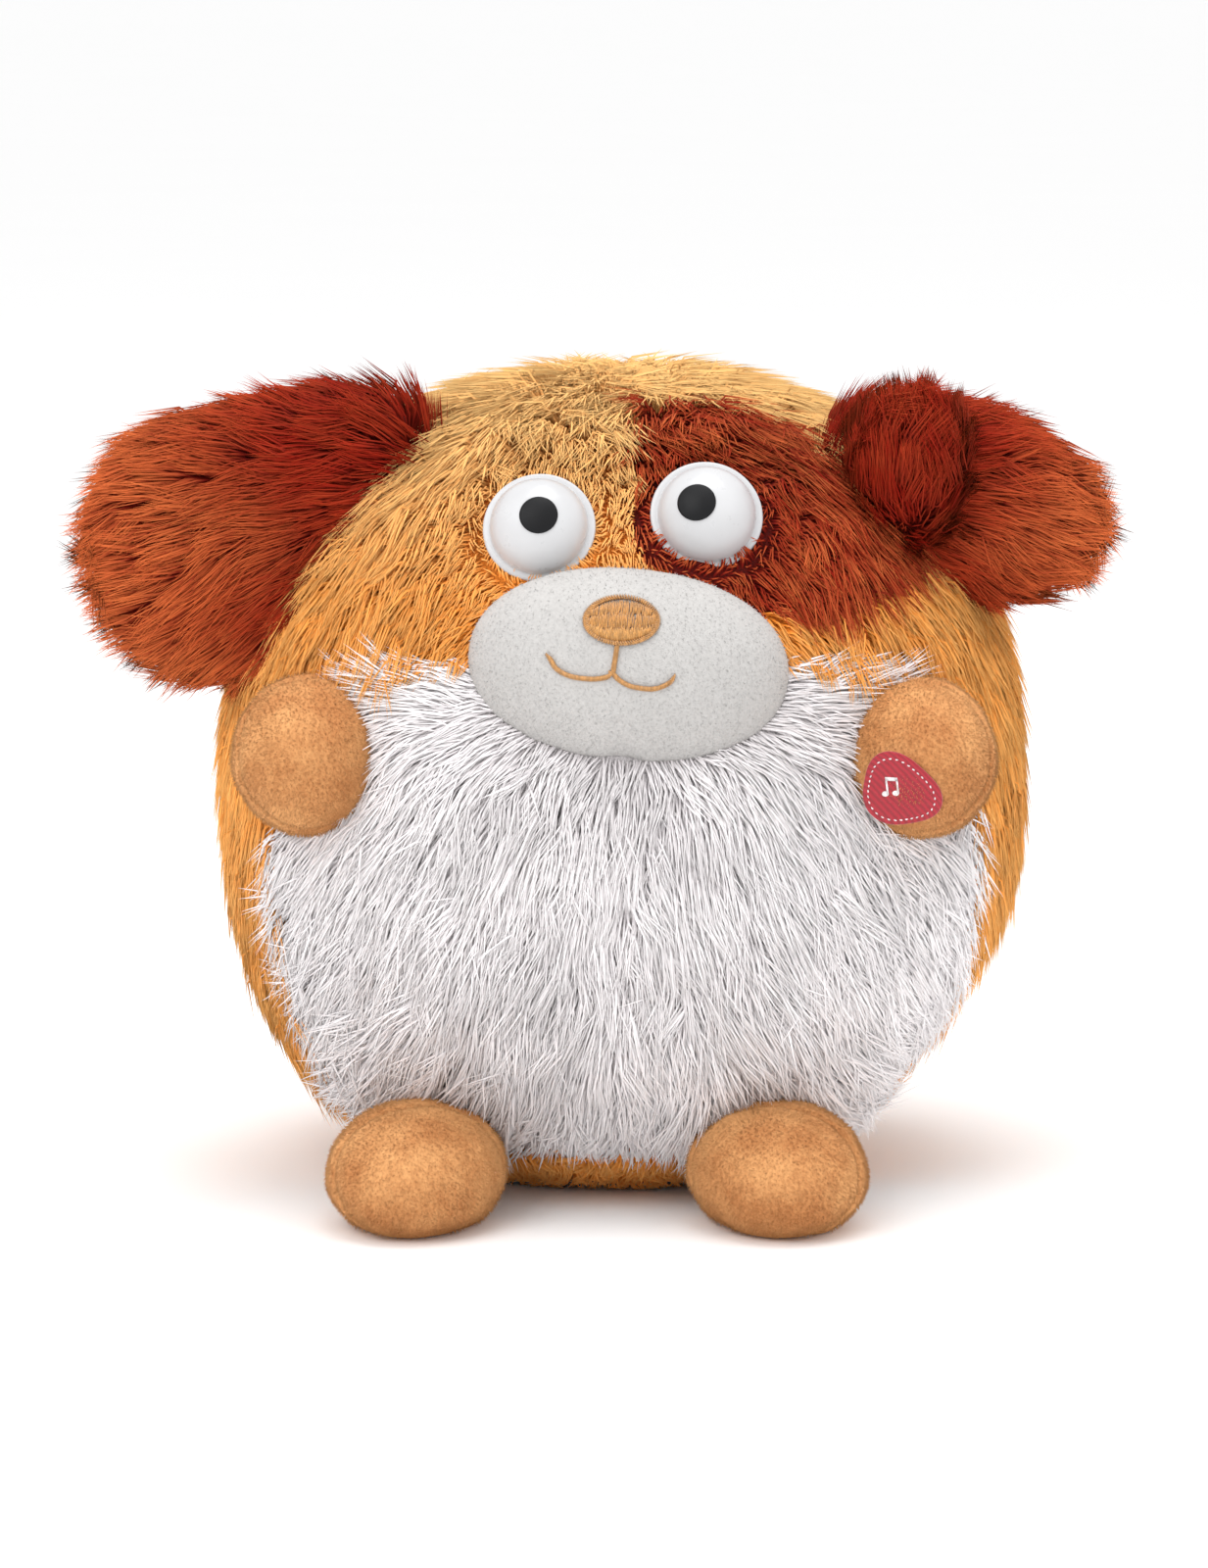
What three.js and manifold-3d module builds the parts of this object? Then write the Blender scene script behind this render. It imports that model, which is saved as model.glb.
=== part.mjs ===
// Round plush puppy with flapping ears: sewn skin panels, fibre filling, eyes, a press switch in one
// paw, and a battery, sound and gear unit inside. Millimetres, +Z up, face towards -Y.
// The origin is the centre of the flat resting face, on the flush battery door of the base.
import * as THREE from 'three';
import { mergeVertices } from 'three/addons/utils/BufferGeometryUtils.js';
import Module from 'manifold-3d';

const wasm = await Module();
wasm.setup();

// ---------------------------------------------------------------- driving dimensions
// Body form: a squared ellipsoid, flattened where it sits
const BODY_HALF_WIDTH = 107;
const BODY_HALF_DEPTH = 98;
const BODY_RISE = 111;
const BODY_DROP = 115;
const BODY_MIDDLE_Z = 109;
const BODY_SQUARENESS = 2.3;
const BODY_SLOPE = 0.12;
const BODY_FLAT_Z = 1.5;
const BODY_COLUMNS = 28;
const BODY_ROWS = 16;

// Skin panels: backing and lightly pressed pile together
const PANEL_THICKNESS = 8;
const SEAM_GAP = 0.4;
const SIDE_SEAM_Y = 6;
const UNDERSIDE_SEAM_Z = 17;

// White belly panel, seen from the front
const BELLY_X = 1;
const BELLY_Z = 88;
const BELLY_HALF_WIDTH = 91;
const BELLY_RISE = 66;
const BELLY_DROP = 78;
const BELLY_RISE_SQUARENESS = 4;
const BELLY_DROP_SQUARENESS = 2.4;

// Brown patch around one eye
const PATCH_X = 35;
const PATCH_DROP = 31;
const PATCH_HALF_WIDTH = 38;
const PATCH_HALF_HEIGHT = 21;
const PATCH_TILT = 0.42;

// Muzzle, nose and mouth
const MUZZLE_X = 1.5;
const MUZZLE_INSET = 4;
const MUZZLE_DROP = 67;
const MUZZLE_HALF_WIDTH = 43;
const MUZZLE_HALF_DEPTH = 24;
const MUZZLE_HALF_HEIGHT = 26;
const MUZZLE_ROLL = 0.09;
const THREAD_HEIGHT = 0.9;
const NOSE_X = -0.5;
const NOSE_RISE = 13.5;
const NOSE_HALF_WIDTH = 11;
const NOSE_HALF_HEIGHT = 6.2;
const SMILE_HALF_WIDTH = 17;
const SMILE_RISE = 5.5;
const SMILE_DROP = 5;
const MOUTH_LINE = 2;
const MOUTH_STEM_SHARE = 0.4;

// Eyes
const EYE_X = 22.5;
const EYE_DROP = 28.5;
const EYE_LEFT_DROP = 3;
const EYE_STANDOFF = 1.5;
const EYE_LIFT = 0.42;
const EYE_SPLAY = 0.1;
const EYE_FLANGE_RIM = 1.9;
const EYE_FLANGE_THICKNESS = 1.4;
const EYE_DOME_RADIUS = 13.4;
const EYE_DOME_HEIGHT = 10.5;
const EYE_STEM_RADIUS = 2.5;
const EYE_STEM_TAIL = 4;
const EYE_WASHER_RADIUS = 9.5;
const EYE_WASHER_THICKNESS = 1.6;
const EYE_WASHER_GAP = 1;
const PUPIL_RADIUS = 5.1;
const PUPIL_THICKNESS = 0.7;
const PUPIL_SHIFT_LEFT = 0.1;
const PUPIL_SHIFT_RIGHT = -0.42;

// Arms
const ARM_LEFT_X = -85;
const ARM_RIGHT_X = 80;
const ARM_STANDOFF = 7;
const ARM_RISE = 18;
const ARM_HALF_WIDTH = 20.5;
const ARM_HALF_LENGTH = 30;
const ARM_HALF_HEIGHT = 21.5;
const ARM_SPLAY = 0.14;

// Press switch in the right paw
const PRESS_REACH = 0.4;
const PRESS_YAW = 0.38;
const PRESS_DIP = 0.38;
const PRESS_TRAVEL = 2.5;
const BADGE_RADIUS = 11;
const BADGE_CORNER_BULGE = 0.13;
const BADGE_THICKNESS = 1.5;
const CAP_RADIUS = 7.5;
const CAP_HEIGHT = 7.4;
const PUCK_WALL = 2.6;
const PUCK_HEIGHT = 9.5;
const PUCK_FLOOR = 3.5;

// Feet
const FOOT_LEFT_X = -56;
const FOOT_RIGHT_X = 42;
const FOOT_INSET = 14;
const FOOT_Z = 14.5;
const FOOT_HALF_WIDTH = 24;
const FOOT_HALF_LENGTH = 35;
const FOOT_HALF_HEIGHT = 18.5;
const FOOT_SPLAY = 0.14;

// Ears and their drive
const EAR_PIVOT_DROP = 46;
const EAR_ROOT_RISE = 19;
const EAR_THICKNESS = 24;
const EAR_ROUNDING = 7;
const LOBE_HALF_DEPTH = 10;
const LOBE_ROUNDING = 5;
const EAR_SWING = 12;
const EAR_CLEARANCE = 2.5;
const LEVER_IN_EAR = 46;
const LEVER_LIFT = 0.35;
const LEVER_THICKNESS = 3.4;
const LEVER_CLEARANCE = 0.8;
const HUB_RADIUS = 6.5;
const AXLE_RADIUS = 2;
const AXLE_CLEARANCE = 0.3;

// Gears
const EAR_GEAR_TEETH = 24;
const EAR_GEAR_MODULE = 1.6;
const PINION_TEETH = 9;
const WHEEL_TEETH = 30;
const WHEEL_MODULE = 1.2;
const MOTOR_TEETH = 8;
const GEAR_REAR_Y = -31.2;
const GEAR_MIDDLE_Y = -36.2;
const GEAR_FRONT_Y = -40.8;
const LAYER_GAP = 0.6;
const PLATE_THICKNESS = 2.5;
const PLATE_GAP = 0.7;
const POST_RADIUS = 3;
const POST_MARGIN = 0.8;
const POST_INSET = 1.4;
const SHAFT_HOLE_RADIUS = 3;

// Gear plates: a bar along the ears' pivots with a stem down to the motor
const PLATE_MARGIN = 4.8;
const PLATE_SHOULDER = 10;
const PLATE_END_CHAMFER = 3;
const PLATE_END_RISE = 7;
const PLATE_END_DROP = 8;
const PLATE_LOW_LEFT = 1;
const PLATE_LOW_RIGHT = 5;
const STEM_MARGIN = 8;
const STEM_DROP = 12;

// Screws
const SCREW_RADIUS = 1.1;
const SCREW_HEAD_RADIUS = 2.8;
const SCREW_HEAD_HEIGHT = 1.6;
const SCREW_CLEARANCE = 0.35;
const SCREW_SLOT_WIDTH = 0.8;
const SCREW_SLOT_DEPTH = 1.6;
const PLATE_SCREW_LENGTH = 10;
const CASE_SCREW_LENGTH = 9;
const DOOR_SCREW_LENGTH = 10;

// Base tub and unit cover
const TUB_HALF_WIDTH = 42;
const TUB_HALF_DEPTH = 33;
const TUB_HEIGHT = 34;
const TUB_WALL = 2.2;
const TUB_FLOOR = 4;
const COVER_HALF_WIDTH = 37.5;
const COVER_BACK_Y = 31;
const COVER_WALL = 2;
const FIT_GAP = 0.4;
const MOTOR_HEADROOM = 5;
const BOSS_INSET = 3.8;
const BOSS_HALF_WIDTH = 3;
const BOSS_HALF_DEPTH = 4;
const BOSS_DEPTH = 12;
const TAB_HALF_DEPTH = 5;
const TAB_THICKNESS = 3;
const GRILLE_ROWS = [-2, -1, 0, 1, 2];
const GRILLE_PITCH = 6;
const GRILLE_HALF_SLOT = 1.3;
const GRILLE_MARGIN = 4;

// Batteries: three AA cells side by side
const CELL_RADIUS = 7.1;
const CELL_LENGTH = 49.2;
const CELL_NUB_RADIUS = 2.7;
const CELL_NUB_HEIGHT = 1.1;
const CELL_SPACING = 1;
const BAY_END_ROOM = 5;
const BAY_SIDE_ROOM = 0.7;
const BAY_WALL = 1.8;
const DOOR_THICKNESS = 1.7;
const DOOR_LIP = 2;
const DOOR_TAB = 7;
const DOOR_GRIP_DEPTH = 0.7;
const CONTACT_THICKNESS = 0.6;
const CONTACT_MARGIN = 1.5;
const SPRING_WIRE_RADIUS = 0.45;
const SPRING_RADIUS = 3.2;
const SPRING_TURNS = 3;

// Sound unit
const SPEAKER_Z = 68;
const SPEAKER_RADIUS = 20;
const SPEAKER_DEPTH = 13;
const MAGNET_RADIUS = 11;
const MAGNET_HEIGHT = 6;
const BOARD_Y = 8;
const BOARD_THICKNESS = 1.6;
const BOARD_HALF_WIDTH = 29;
const BOARD_BOTTOM_Z = 50;
const BOARD_TOP_Z = 100;
const PARTS_RISE = 10;
const CHIP_HALF_WIDTH = 9;
const CHIP_HALF_LENGTH = 7;
const CHIP_HEIGHT = 2;
const DRIVER_X = 12;
const DRIVER_SIZE = 7;
const CAPACITOR_PLACES = [-22, -15];
const CAPACITOR_RADIUS = 2.6;
const CAPACITOR_HEIGHT = 8;

// Motor
const MOTOR_RADIUS = 12;
const MOTOR_LENGTH = 30;
const MOTOR_CAP_HEIGHT = 2;
const SHAFT_RADIUS = 1;
const SHAFT_IN_MOTOR = 6;
const SHAFT_BORE_DEPTH = 8;

// Power switch under the base
const SWITCH_INSET = 5;
const SWITCH_TRAVEL = 4;
const SWITCH_KNOB_LENGTH = 4;
const SWITCH_KNOB_WIDTH = 2.6;
const SWITCH_KNOB_TONGUE = 1.6;
const SWITCH_RECESS_DEPTH = 1.6;

// Leads
const LEAD_RADIUS = 1.2;
const LEAD_ROOM = 1.2;

// Room left round the unit and the gears inside the filling
const HOLLOW_ROOM = 1.5;
const STEM_ROOM = 2.5;

// How far joined solids run into each other, and cutting solids run past a face
const SINK = 0.5;
const OVERRUN = 1;

// ---------------------------------------------------------------- worked-out places
const SIDE_LEFT = -1;
const SIDE_RIGHT = 1;
const FAR = 400;

// How far forward, or out to the side, the body form reaches at a place
function bodyReach(half, across, halfAcross, z) {
  const height = z > BODY_MIDDLE_Z ? BODY_RISE : BODY_DROP;
  const left = 1 - Math.abs(across / halfAcross) ** BODY_SQUARENESS
    - Math.abs((z - BODY_MIDDLE_Z) / height) ** BODY_SQUARENESS;
  return half * left ** (1 / BODY_SQUARENESS);
}
const bodyFrontY = (x, z) => -bodyReach(BODY_HALF_DEPTH, x, BODY_HALF_WIDTH, z);
const bodySideX = (y, z) => bodyReach(BODY_HALF_WIDTH, y, BODY_HALF_DEPTH, z);

const BODY_TOP_Z = BODY_MIDDLE_Z + BODY_RISE;
const PATCH_Z = BODY_TOP_Z - PATCH_DROP;
const MUZZLE_Z = BODY_TOP_Z - MUZZLE_DROP;
const NOSE_Z = MUZZLE_Z + NOSE_RISE;
const SMILE_Z = MUZZLE_Z + SMILE_RISE;
const ARM_Z = BODY_MIDDLE_Z + ARM_RISE;
const EYE_Z = BODY_TOP_Z - EYE_DROP;
const EYE_FLANGE_RADIUS = EYE_DOME_RADIUS + EYE_FLANGE_RIM;
const EYE_WASHER_DEPTH = PANEL_THICKNESS + EYE_WASHER_GAP;
const EYE_STEM_LENGTH = EYE_WASHER_DEPTH + EYE_STEM_TAIL;
const MUZZLE_Y = bodyFrontY(MUZZLE_X, MUZZLE_Z) + MUZZLE_INSET;
const FOOT_Y = -BODY_HALF_DEPTH + FOOT_INSET;
const PUCK_RADIUS = CAP_RADIUS + FIT_GAP + PUCK_WALL;
const EAR_Y = (GEAR_FRONT_Y + GEAR_REAR_Y) / 2;
const EAR_GEAR_RADIUS = EAR_GEAR_TEETH * EAR_GEAR_MODULE / 2;
const EAR_PIVOT_X = 3 * EAR_GEAR_RADIUS;
const EAR_PIVOT_Z = BODY_TOP_Z - PANEL_THICKNESS - EAR_PIVOT_DROP;
const EAR_ROOT_Z = EAR_PIVOT_Z + EAR_ROOT_RISE;
const EAR_ROOT_X = bodySideX(EAR_Y, EAR_ROOT_Z);
const LEVER_REACH = EAR_ROOT_X - EAR_PIVOT_X + LEVER_IN_EAR;
const PINION_RADIUS = PINION_TEETH * EAR_GEAR_MODULE / 2;
const WHEEL_RADIUS = WHEEL_TEETH * WHEEL_MODULE / 2;
const MOTOR_PINION_RADIUS = MOTOR_TEETH * WHEEL_MODULE / 2;
const IDLER_X = EAR_GEAR_RADIUS;
const COMPOUND_X = -IDLER_X;
const COMPOUND_Z = EAR_PIVOT_Z - EAR_GEAR_RADIUS - PINION_RADIUS;
const MOTOR_Z = COMPOUND_Z - WHEEL_RADIUS - MOTOR_PINION_RADIUS;
const PLATE_BACK_FRONT_Y = GEAR_REAR_Y + PLATE_GAP;
const PLATE_BACK_REAR_Y = PLATE_BACK_FRONT_Y + PLATE_THICKNESS;
const PLATE_FRONT_REAR_Y = GEAR_FRONT_Y - PLATE_GAP;
const PLATE_FRONT_FRONT_Y = PLATE_FRONT_REAR_Y - PLATE_THICKNESS;
const COVER_FRONT_Y = PLATE_BACK_REAR_Y + FIT_GAP;
const COVER_BOTTOM_Z = TUB_HEIGHT + FIT_GAP;
const COVER_TOP_Z = MOTOR_Z + MOTOR_RADIUS + COVER_WALL + MOTOR_HEADROOM;
const POST_RISE = EAR_GEAR_RADIUS + POST_MARGIN;
const POSTS = [
  [0, EAR_PIVOT_Z + POST_RISE],
  [-EAR_PIVOT_X + 2 * HUB_RADIUS - POST_INSET, EAR_PIVOT_Z - POST_RISE],
  [2 * EAR_GEAR_RADIUS, EAR_PIVOT_Z - POST_RISE],
];
const CELL_PITCH = 2 * CELL_RADIUS + CELL_SPACING;
const SWITCH_X = TUB_HALF_WIDTH - SWITCH_INSET;
const BAY_HALF_LENGTH = CELL_LENGTH / 2 + BAY_END_ROOM;
const BAY_HALF_WIDTH = CELL_PITCH + CELL_RADIUS + BAY_SIDE_ROOM;
const BAY_TOP_Z = TUB_FLOOR + 2 * CELL_RADIUS + BAY_SIDE_ROOM;
const CELL_Z = TUB_FLOOR + CELL_RADIUS + BAY_SIDE_ROOM / 2;
const DOOR_SCREW_X = -BAY_HALF_LENGTH - DOOR_LIP - DOOR_TAB / 2;
const MOTOR_FRONT_Y = COVER_FRONT_Y + COVER_WALL + FIT_GAP;

// ---------------------------------------------------------------- solids
// A closed mesh as a manifold solid
function solid(geometry) {
  const bare = new THREE.BufferGeometry();
  bare.setAttribute('position', geometry.getAttribute('position'));
  if (geometry.index) bare.setIndex(geometry.index);
  const merged = mergeVertices(bare);
  return new wasm.Manifold(new wasm.Mesh({
    numProp: 3,
    vertProperties: new Float32Array(merged.getAttribute('position').array),
    triVerts: new Uint32Array(merged.index.array),
  }));
}

// A solid back as a geometry with its own normals
function geometryOf(body) {
  const mesh = body.getMesh();
  const geometry = new THREE.BufferGeometry();
  geometry.setAttribute('position', new THREE.BufferAttribute(new Float32Array(mesh.vertProperties), 3));
  geometry.setIndex(new THREE.BufferAttribute(new Uint32Array(mesh.triVerts), 1));
  geometry.computeVertexNormals();
  return geometry;
}

const vector = (x, y, z) => new THREE.Vector3(x, y, z);
const join = (...bodies) => bodies.reduce((whole, body) => whole.add(body));
const cut = (body, ...tools) => tools.reduce((rest, tool) => rest.subtract(tool), body);

function block(x0, x1, y0, y1, z0, z1) {
  const geometry = new THREE.BoxGeometry(x1 - x0, y1 - y0, z1 - z0);
  geometry.translate((x0 + x1) / 2, (y0 + y1) / 2, (z0 + z1) / 2);
  return solid(geometry);
}

// A block whose near and far faces are given outward from the middle, on one side
function sidedBlock(side, near, far, y0, y1, z0, z1) {
  return block(Math.min(side * near, side * far), Math.max(side * near, side * far), y0, y1, z0, z1);
}

// A round bar between two points
function rod(radius, start, end, sides = 12) {
  const along = end.clone().sub(start);
  const geometry = new THREE.CylinderGeometry(radius, radius, along.length(), sides);
  const turn = new THREE.Quaternion().setFromUnitVectors(vector(0, 1, 0), along.clone().normalize());
  geometry.applyQuaternion(turn);
  const middle = start.clone().add(end).multiplyScalar(0.5);
  geometry.translate(middle.x, middle.y, middle.z);
  return solid(geometry);
}

// A round bar lying front to back
const rodAlongY = (radius, x, z, y0, y1, sides) => rod(radius, vector(x, y0, z), vector(x, y1, z), sides);

// A round bar standing upright
const rodAlongZ = (radius, x, y, z0, z1, sides) => rod(radius, vector(x, y, z0), vector(x, y, z1), sides);

// An outline drawn in front view (x across, z up), as thick as y0 to y1
function plate(outline, y0, y1) {
  const options = { depth: y1 - y0, bevelEnabled: false, curveSegments: 6 };
  const geometry = new THREE.ExtrudeGeometry(outline, options);
  geometry.rotateX(Math.PI / 2);
  geometry.translate(0, y1, 0);
  return solid(geometry);
}

// The same with rounded edges, for soft pieces
function cushion(outline, y0, y1, rounding) {
  const geometry = new THREE.ExtrudeGeometry(outline, {
    depth: y1 - y0 - 2 * rounding,
    bevelThickness: rounding,
    bevelSize: rounding,
    bevelOffset: -rounding,
    bevelSegments: 2,
    curveSegments: 6,
  });
  geometry.rotateX(Math.PI / 2);
  geometry.translate(0, y1 - rounding, 0);
  return solid(geometry);
}

// A tube along a smooth route
function tube(radius, route, steps, sides = 8) {
  const section = new THREE.Shape();
  section.setFromPoints(ringPoints(radius, sides));
  const path = new THREE.CatmullRomCurve3(route);
  return solid(new THREE.ExtrudeGeometry(section, { steps, extrudePath: path, bevelEnabled: false }));
}

function ringPoints(radius, sides) {
  const points = [];
  for (let i = 0; i < sides; i += 1) {
    const angle = 2 * Math.PI * i / sides;
    points.push(new THREE.Vector2(radius * Math.cos(angle), radius * Math.sin(angle)));
  }
  return points;
}

// A closed profile (radius, height) spun about its own axis
function turned(profile, sides = 18) {
  const points = profile.map(([radius, height]) => new THREE.Vector2(radius, height));
  return solid(new THREE.LatheGeometry(points, sides));
}

// A solid made on the Y axis, moved so that its axis points along a direction from a place
function aim(body, direction, place) {
  const geometry = geometryOf(body);
  geometry.applyQuaternion(new THREE.Quaternion().setFromUnitVectors(vector(0, 1, 0), direction));
  geometry.translate(place.x, place.y, place.z);
  return solid(geometry);
}

// A solid turned in front view about a pivot, in degrees, anticlockwise as seen from the front
function swung(body, pivotX, pivotZ, degrees) {
  const geometry = geometryOf(body);
  geometry.translate(-pivotX, 0, -pivotZ);
  geometry.rotateY(-THREE.MathUtils.degToRad(degrees));
  geometry.translate(pivotX, 0, pivotZ);
  return solid(geometry);
}

// An ellipsoid with its own half sizes, turned about X, Y and Z in that order, at a place
function pillow(halves, turns, place, columns = 18, rows = 12) {
  const geometry = new THREE.SphereGeometry(1, columns, rows);
  geometry.scale(...halves);
  geometry.rotateX(turns[0]);
  geometry.rotateY(turns[1]);
  geometry.rotateZ(turns[2]);
  geometry.translate(...place);
  return solid(geometry);
}

// ---------------------------------------------------------------- outlines in front view
// A closed outline through a function of the angle
function roundOutline(pointAt, steps = 40) {
  const shape = new THREE.Shape();
  const points = [];
  for (let i = 0; i < steps; i += 1) points.push(pointAt(2 * Math.PI * i / steps));
  shape.setFromPoints(points);
  return shape;
}

const signedPower = (value, power) => Math.sign(value) * Math.abs(value) ** power;

function bellyOutline(grow) {
  return roundOutline((angle) => {
    const up = Math.sin(angle) > 0;
    const squareness = up ? BELLY_RISE_SQUARENESS : BELLY_DROP_SQUARENESS;
    const height = (up ? BELLY_RISE : BELLY_DROP) + grow;
    const x = (BELLY_HALF_WIDTH + grow) * signedPower(Math.cos(angle), 2 / squareness);
    const z = height * signedPower(Math.sin(angle), 2 / squareness);
    return new THREE.Vector2(BELLY_X + x, BELLY_Z + z);
  }, 30);
}

// The patch is an oval with a few soft lobes
function patchOutline(grow) {
  return roundOutline((angle) => {
    const lobes = 1 + 0.09 * Math.sin(3 * angle + 0.8) + 0.05 * Math.sin(5 * angle);
    const along = (PATCH_HALF_WIDTH * lobes + grow) * Math.cos(angle);
    const across = (PATCH_HALF_HEIGHT * lobes + grow) * Math.sin(angle);
    const x = along * Math.cos(PATCH_TILT) + across * Math.sin(PATCH_TILT);
    const z = across * Math.cos(PATCH_TILT) - along * Math.sin(PATCH_TILT);
    return new THREE.Vector2(PATCH_X + x, PATCH_Z + z);
  }, 26);
}

// A smooth closed outline through a few chosen points
function smoothOutline(points, steps) {
  const curve = new THREE.CatmullRomCurve3(points.map(([x, z]) => vector(x, z, 0)), true, 'centripetal');
  const shape = new THREE.Shape();
  shape.setFromPoints(curve.getPoints(steps).slice(0, -1).map((p) => new THREE.Vector2(p.x, p.y)));
  return shape;
}

// The body's own outline in a plane y, grown by a clearance
function bodyOutline(y, grow) {
  const deep = 1 - (Math.abs(y) / (BODY_HALF_DEPTH + grow)) ** BODY_SQUARENESS;
  const share = deep ** (1 / BODY_SQUARENESS);
  return roundOutline((angle) => {
    const height = (Math.sin(angle) > 0 ? BODY_RISE : BODY_DROP) + grow;
    const x = (BODY_HALF_WIDTH + grow) * share * signedPower(Math.cos(angle), 2 / BODY_SQUARENESS);
    const z = height * share * signedPower(Math.sin(angle), 2 / BODY_SQUARENESS);
    return new THREE.Vector2(x, BODY_MIDDLE_Z + z);
  }, 44);
}

// ---------------------------------------------------------------- body form
// The stuffing sits higher on the right, so the form is drawn in a little below it
function bodySlope(point) {
  const depth = Math.min(0, point.z) / BODY_DROP;
  return point.x > 0 ? 1 - BODY_SLOPE * Math.sin(Math.PI * depth ** 2) : 1;
}

function bodyForm(grow) {
  const geometry = new THREE.SphereGeometry(1, BODY_COLUMNS, BODY_ROWS);
  geometry.rotateX(Math.PI / 2);
  const position = geometry.getAttribute('position');
  const point = new THREE.Vector3();
  for (let i = 0; i < position.count; i += 1) {
    point.fromBufferAttribute(position, i);
    const height = (point.z > 0 ? BODY_RISE : BODY_DROP) + grow;
    const sum = Math.abs(point.x / (BODY_HALF_WIDTH + grow)) ** BODY_SQUARENESS
      + Math.abs(point.y / (BODY_HALF_DEPTH + grow)) ** BODY_SQUARENESS
      + Math.abs(point.z / height) ** BODY_SQUARENESS;
    point.multiplyScalar(sum ** (-1 / BODY_SQUARENESS));
    position.setXYZ(i, point.x * bodySlope(point), point.y, point.z + BODY_MIDDLE_Z);
  }
  const aboveFlat = block(-FAR, FAR, -FAR, FAR, BODY_FLAT_Z - grow, FAR);
  return solid(geometry).intersect(aboveFlat);
}

// ---------------------------------------------------------------- eyes
const EYES = {
  left: { x: -EYE_X, z: EYE_Z - EYE_LEFT_DROP, side: SIDE_LEFT, shift: PUPIL_SHIFT_LEFT },
  right: { x: EYE_X, z: EYE_Z, side: SIDE_RIGHT, shift: PUPIL_SHIFT_RIGHT },
};

function eyeDirection(eye, turn = 0) {
  const across = eye.side * EYE_SPLAY + turn;
  return vector(
    Math.sin(across) * Math.cos(EYE_LIFT),
    -Math.cos(across) * Math.cos(EYE_LIFT),
    Math.sin(EYE_LIFT),
  );
}

const eyePlace = (eye) => vector(eye.x, bodyFrontY(eye.x, eye.z) - EYE_STANDOFF, eye.z);

// The dome's outer surface as a quarter ellipse, from its rim to its crown
function domeProfile(grow) {
  const steps = 5;
  const points = [];
  for (let i = 0; i <= steps; i += 1) {
    const angle = Math.PI / 2 * i / steps;
    const radius = i === steps ? 0 : (EYE_DOME_RADIUS + grow) * Math.cos(angle);
    points.push([radius, EYE_FLANGE_THICKNESS + (EYE_DOME_HEIGHT + grow) * Math.sin(angle)]);
  }
  return points;
}

function eyeDome(eye) {
  const profile = [
    [0, -EYE_STEM_LENGTH],
    [EYE_STEM_RADIUS, -EYE_STEM_LENGTH],
    [EYE_STEM_RADIUS, 0],
    [EYE_FLANGE_RADIUS, 0],
    [EYE_FLANGE_RADIUS, EYE_FLANGE_THICKNESS],
    ...domeProfile(0),
  ];
  return aim(turned(profile), eyeDirection(eye), eyePlace(eye));
}

// The pupil is a thin skin on the dome, turned towards where the eye looks
function eyePupil(eye) {
  const outer = turned([[0, 0], [EYE_DOME_RADIUS + PUPIL_THICKNESS, 0], ...domeProfile(PUPIL_THICKNESS)]);
  const inner = turned([[0, -1], [EYE_DOME_RADIUS + FIT_GAP / 2, -1], ...domeProfile(FIT_GAP / 2)]);
  const skin = aim(outer.subtract(inner), eyeDirection(eye), eyePlace(eye));
  const look = eyeDirection(eye, eye.shift);
  const reach = EYE_FLANGE_THICKNESS + EYE_DOME_HEIGHT + PUPIL_THICKNESS;
  const beam = rod(
    PUPIL_RADIUS,
    eyePlace(eye).addScaledVector(look, reach / 3),
    eyePlace(eye).addScaledVector(look, 3 * reach),
  );
  return skin.intersect(beam);
}

function eyeWasher(eye) {
  const top = -EYE_WASHER_DEPTH + EYE_WASHER_THICKNESS;
  const bore = EYE_STEM_RADIUS + FIT_GAP;
  const profile = [
    [bore, -EYE_WASHER_DEPTH],
    [EYE_WASHER_RADIUS, -EYE_WASHER_DEPTH],
    [EYE_WASHER_RADIUS, top],
    [bore, top],
    [bore, -EYE_WASHER_DEPTH],
  ];
  return aim(turned(profile), eyeDirection(eye), eyePlace(eye));
}

// Room for the flange, the stem and the washer in the skin and the filling
function eyeRoom(eye) {
  const direction = eyeDirection(eye);
  const at = (distance) => eyePlace(eye).addScaledVector(direction, distance);
  const washerTop = EYE_WASHER_THICKNESS - EYE_WASHER_DEPTH;
  return join(
    rod(EYE_FLANGE_RADIUS + FIT_GAP, at(-FIT_GAP), at(EYE_DOME_HEIGHT * 3), 18),
    rod(EYE_STEM_RADIUS + FIT_GAP, at(-EYE_STEM_LENGTH - OVERRUN), at(OVERRUN)),
    rod(EYE_WASHER_RADIUS + FIT_GAP, at(-EYE_WASHER_DEPTH - FIT_GAP), at(washerTop + FIT_GAP)),
  );
}

// ---------------------------------------------------------------- press switch
const PRESS_OUT = vector(
  -Math.sin(PRESS_YAW) * Math.cos(PRESS_DIP),
  -Math.cos(PRESS_YAW) * Math.cos(PRESS_DIP),
  -Math.sin(PRESS_DIP),
);
// The switch's axis starts on the arm's own axis and leaves through the arm's surface
const armPlace = (x) => vector(x, bodyFrontY(x, ARM_Z) - ARM_STANDOFF, ARM_Z);
const pressRoot = armPlace(ARM_RIGHT_X).addScaledVector(vector(0, -1, 0), PRESS_REACH * ARM_HALF_LENGTH);

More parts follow.
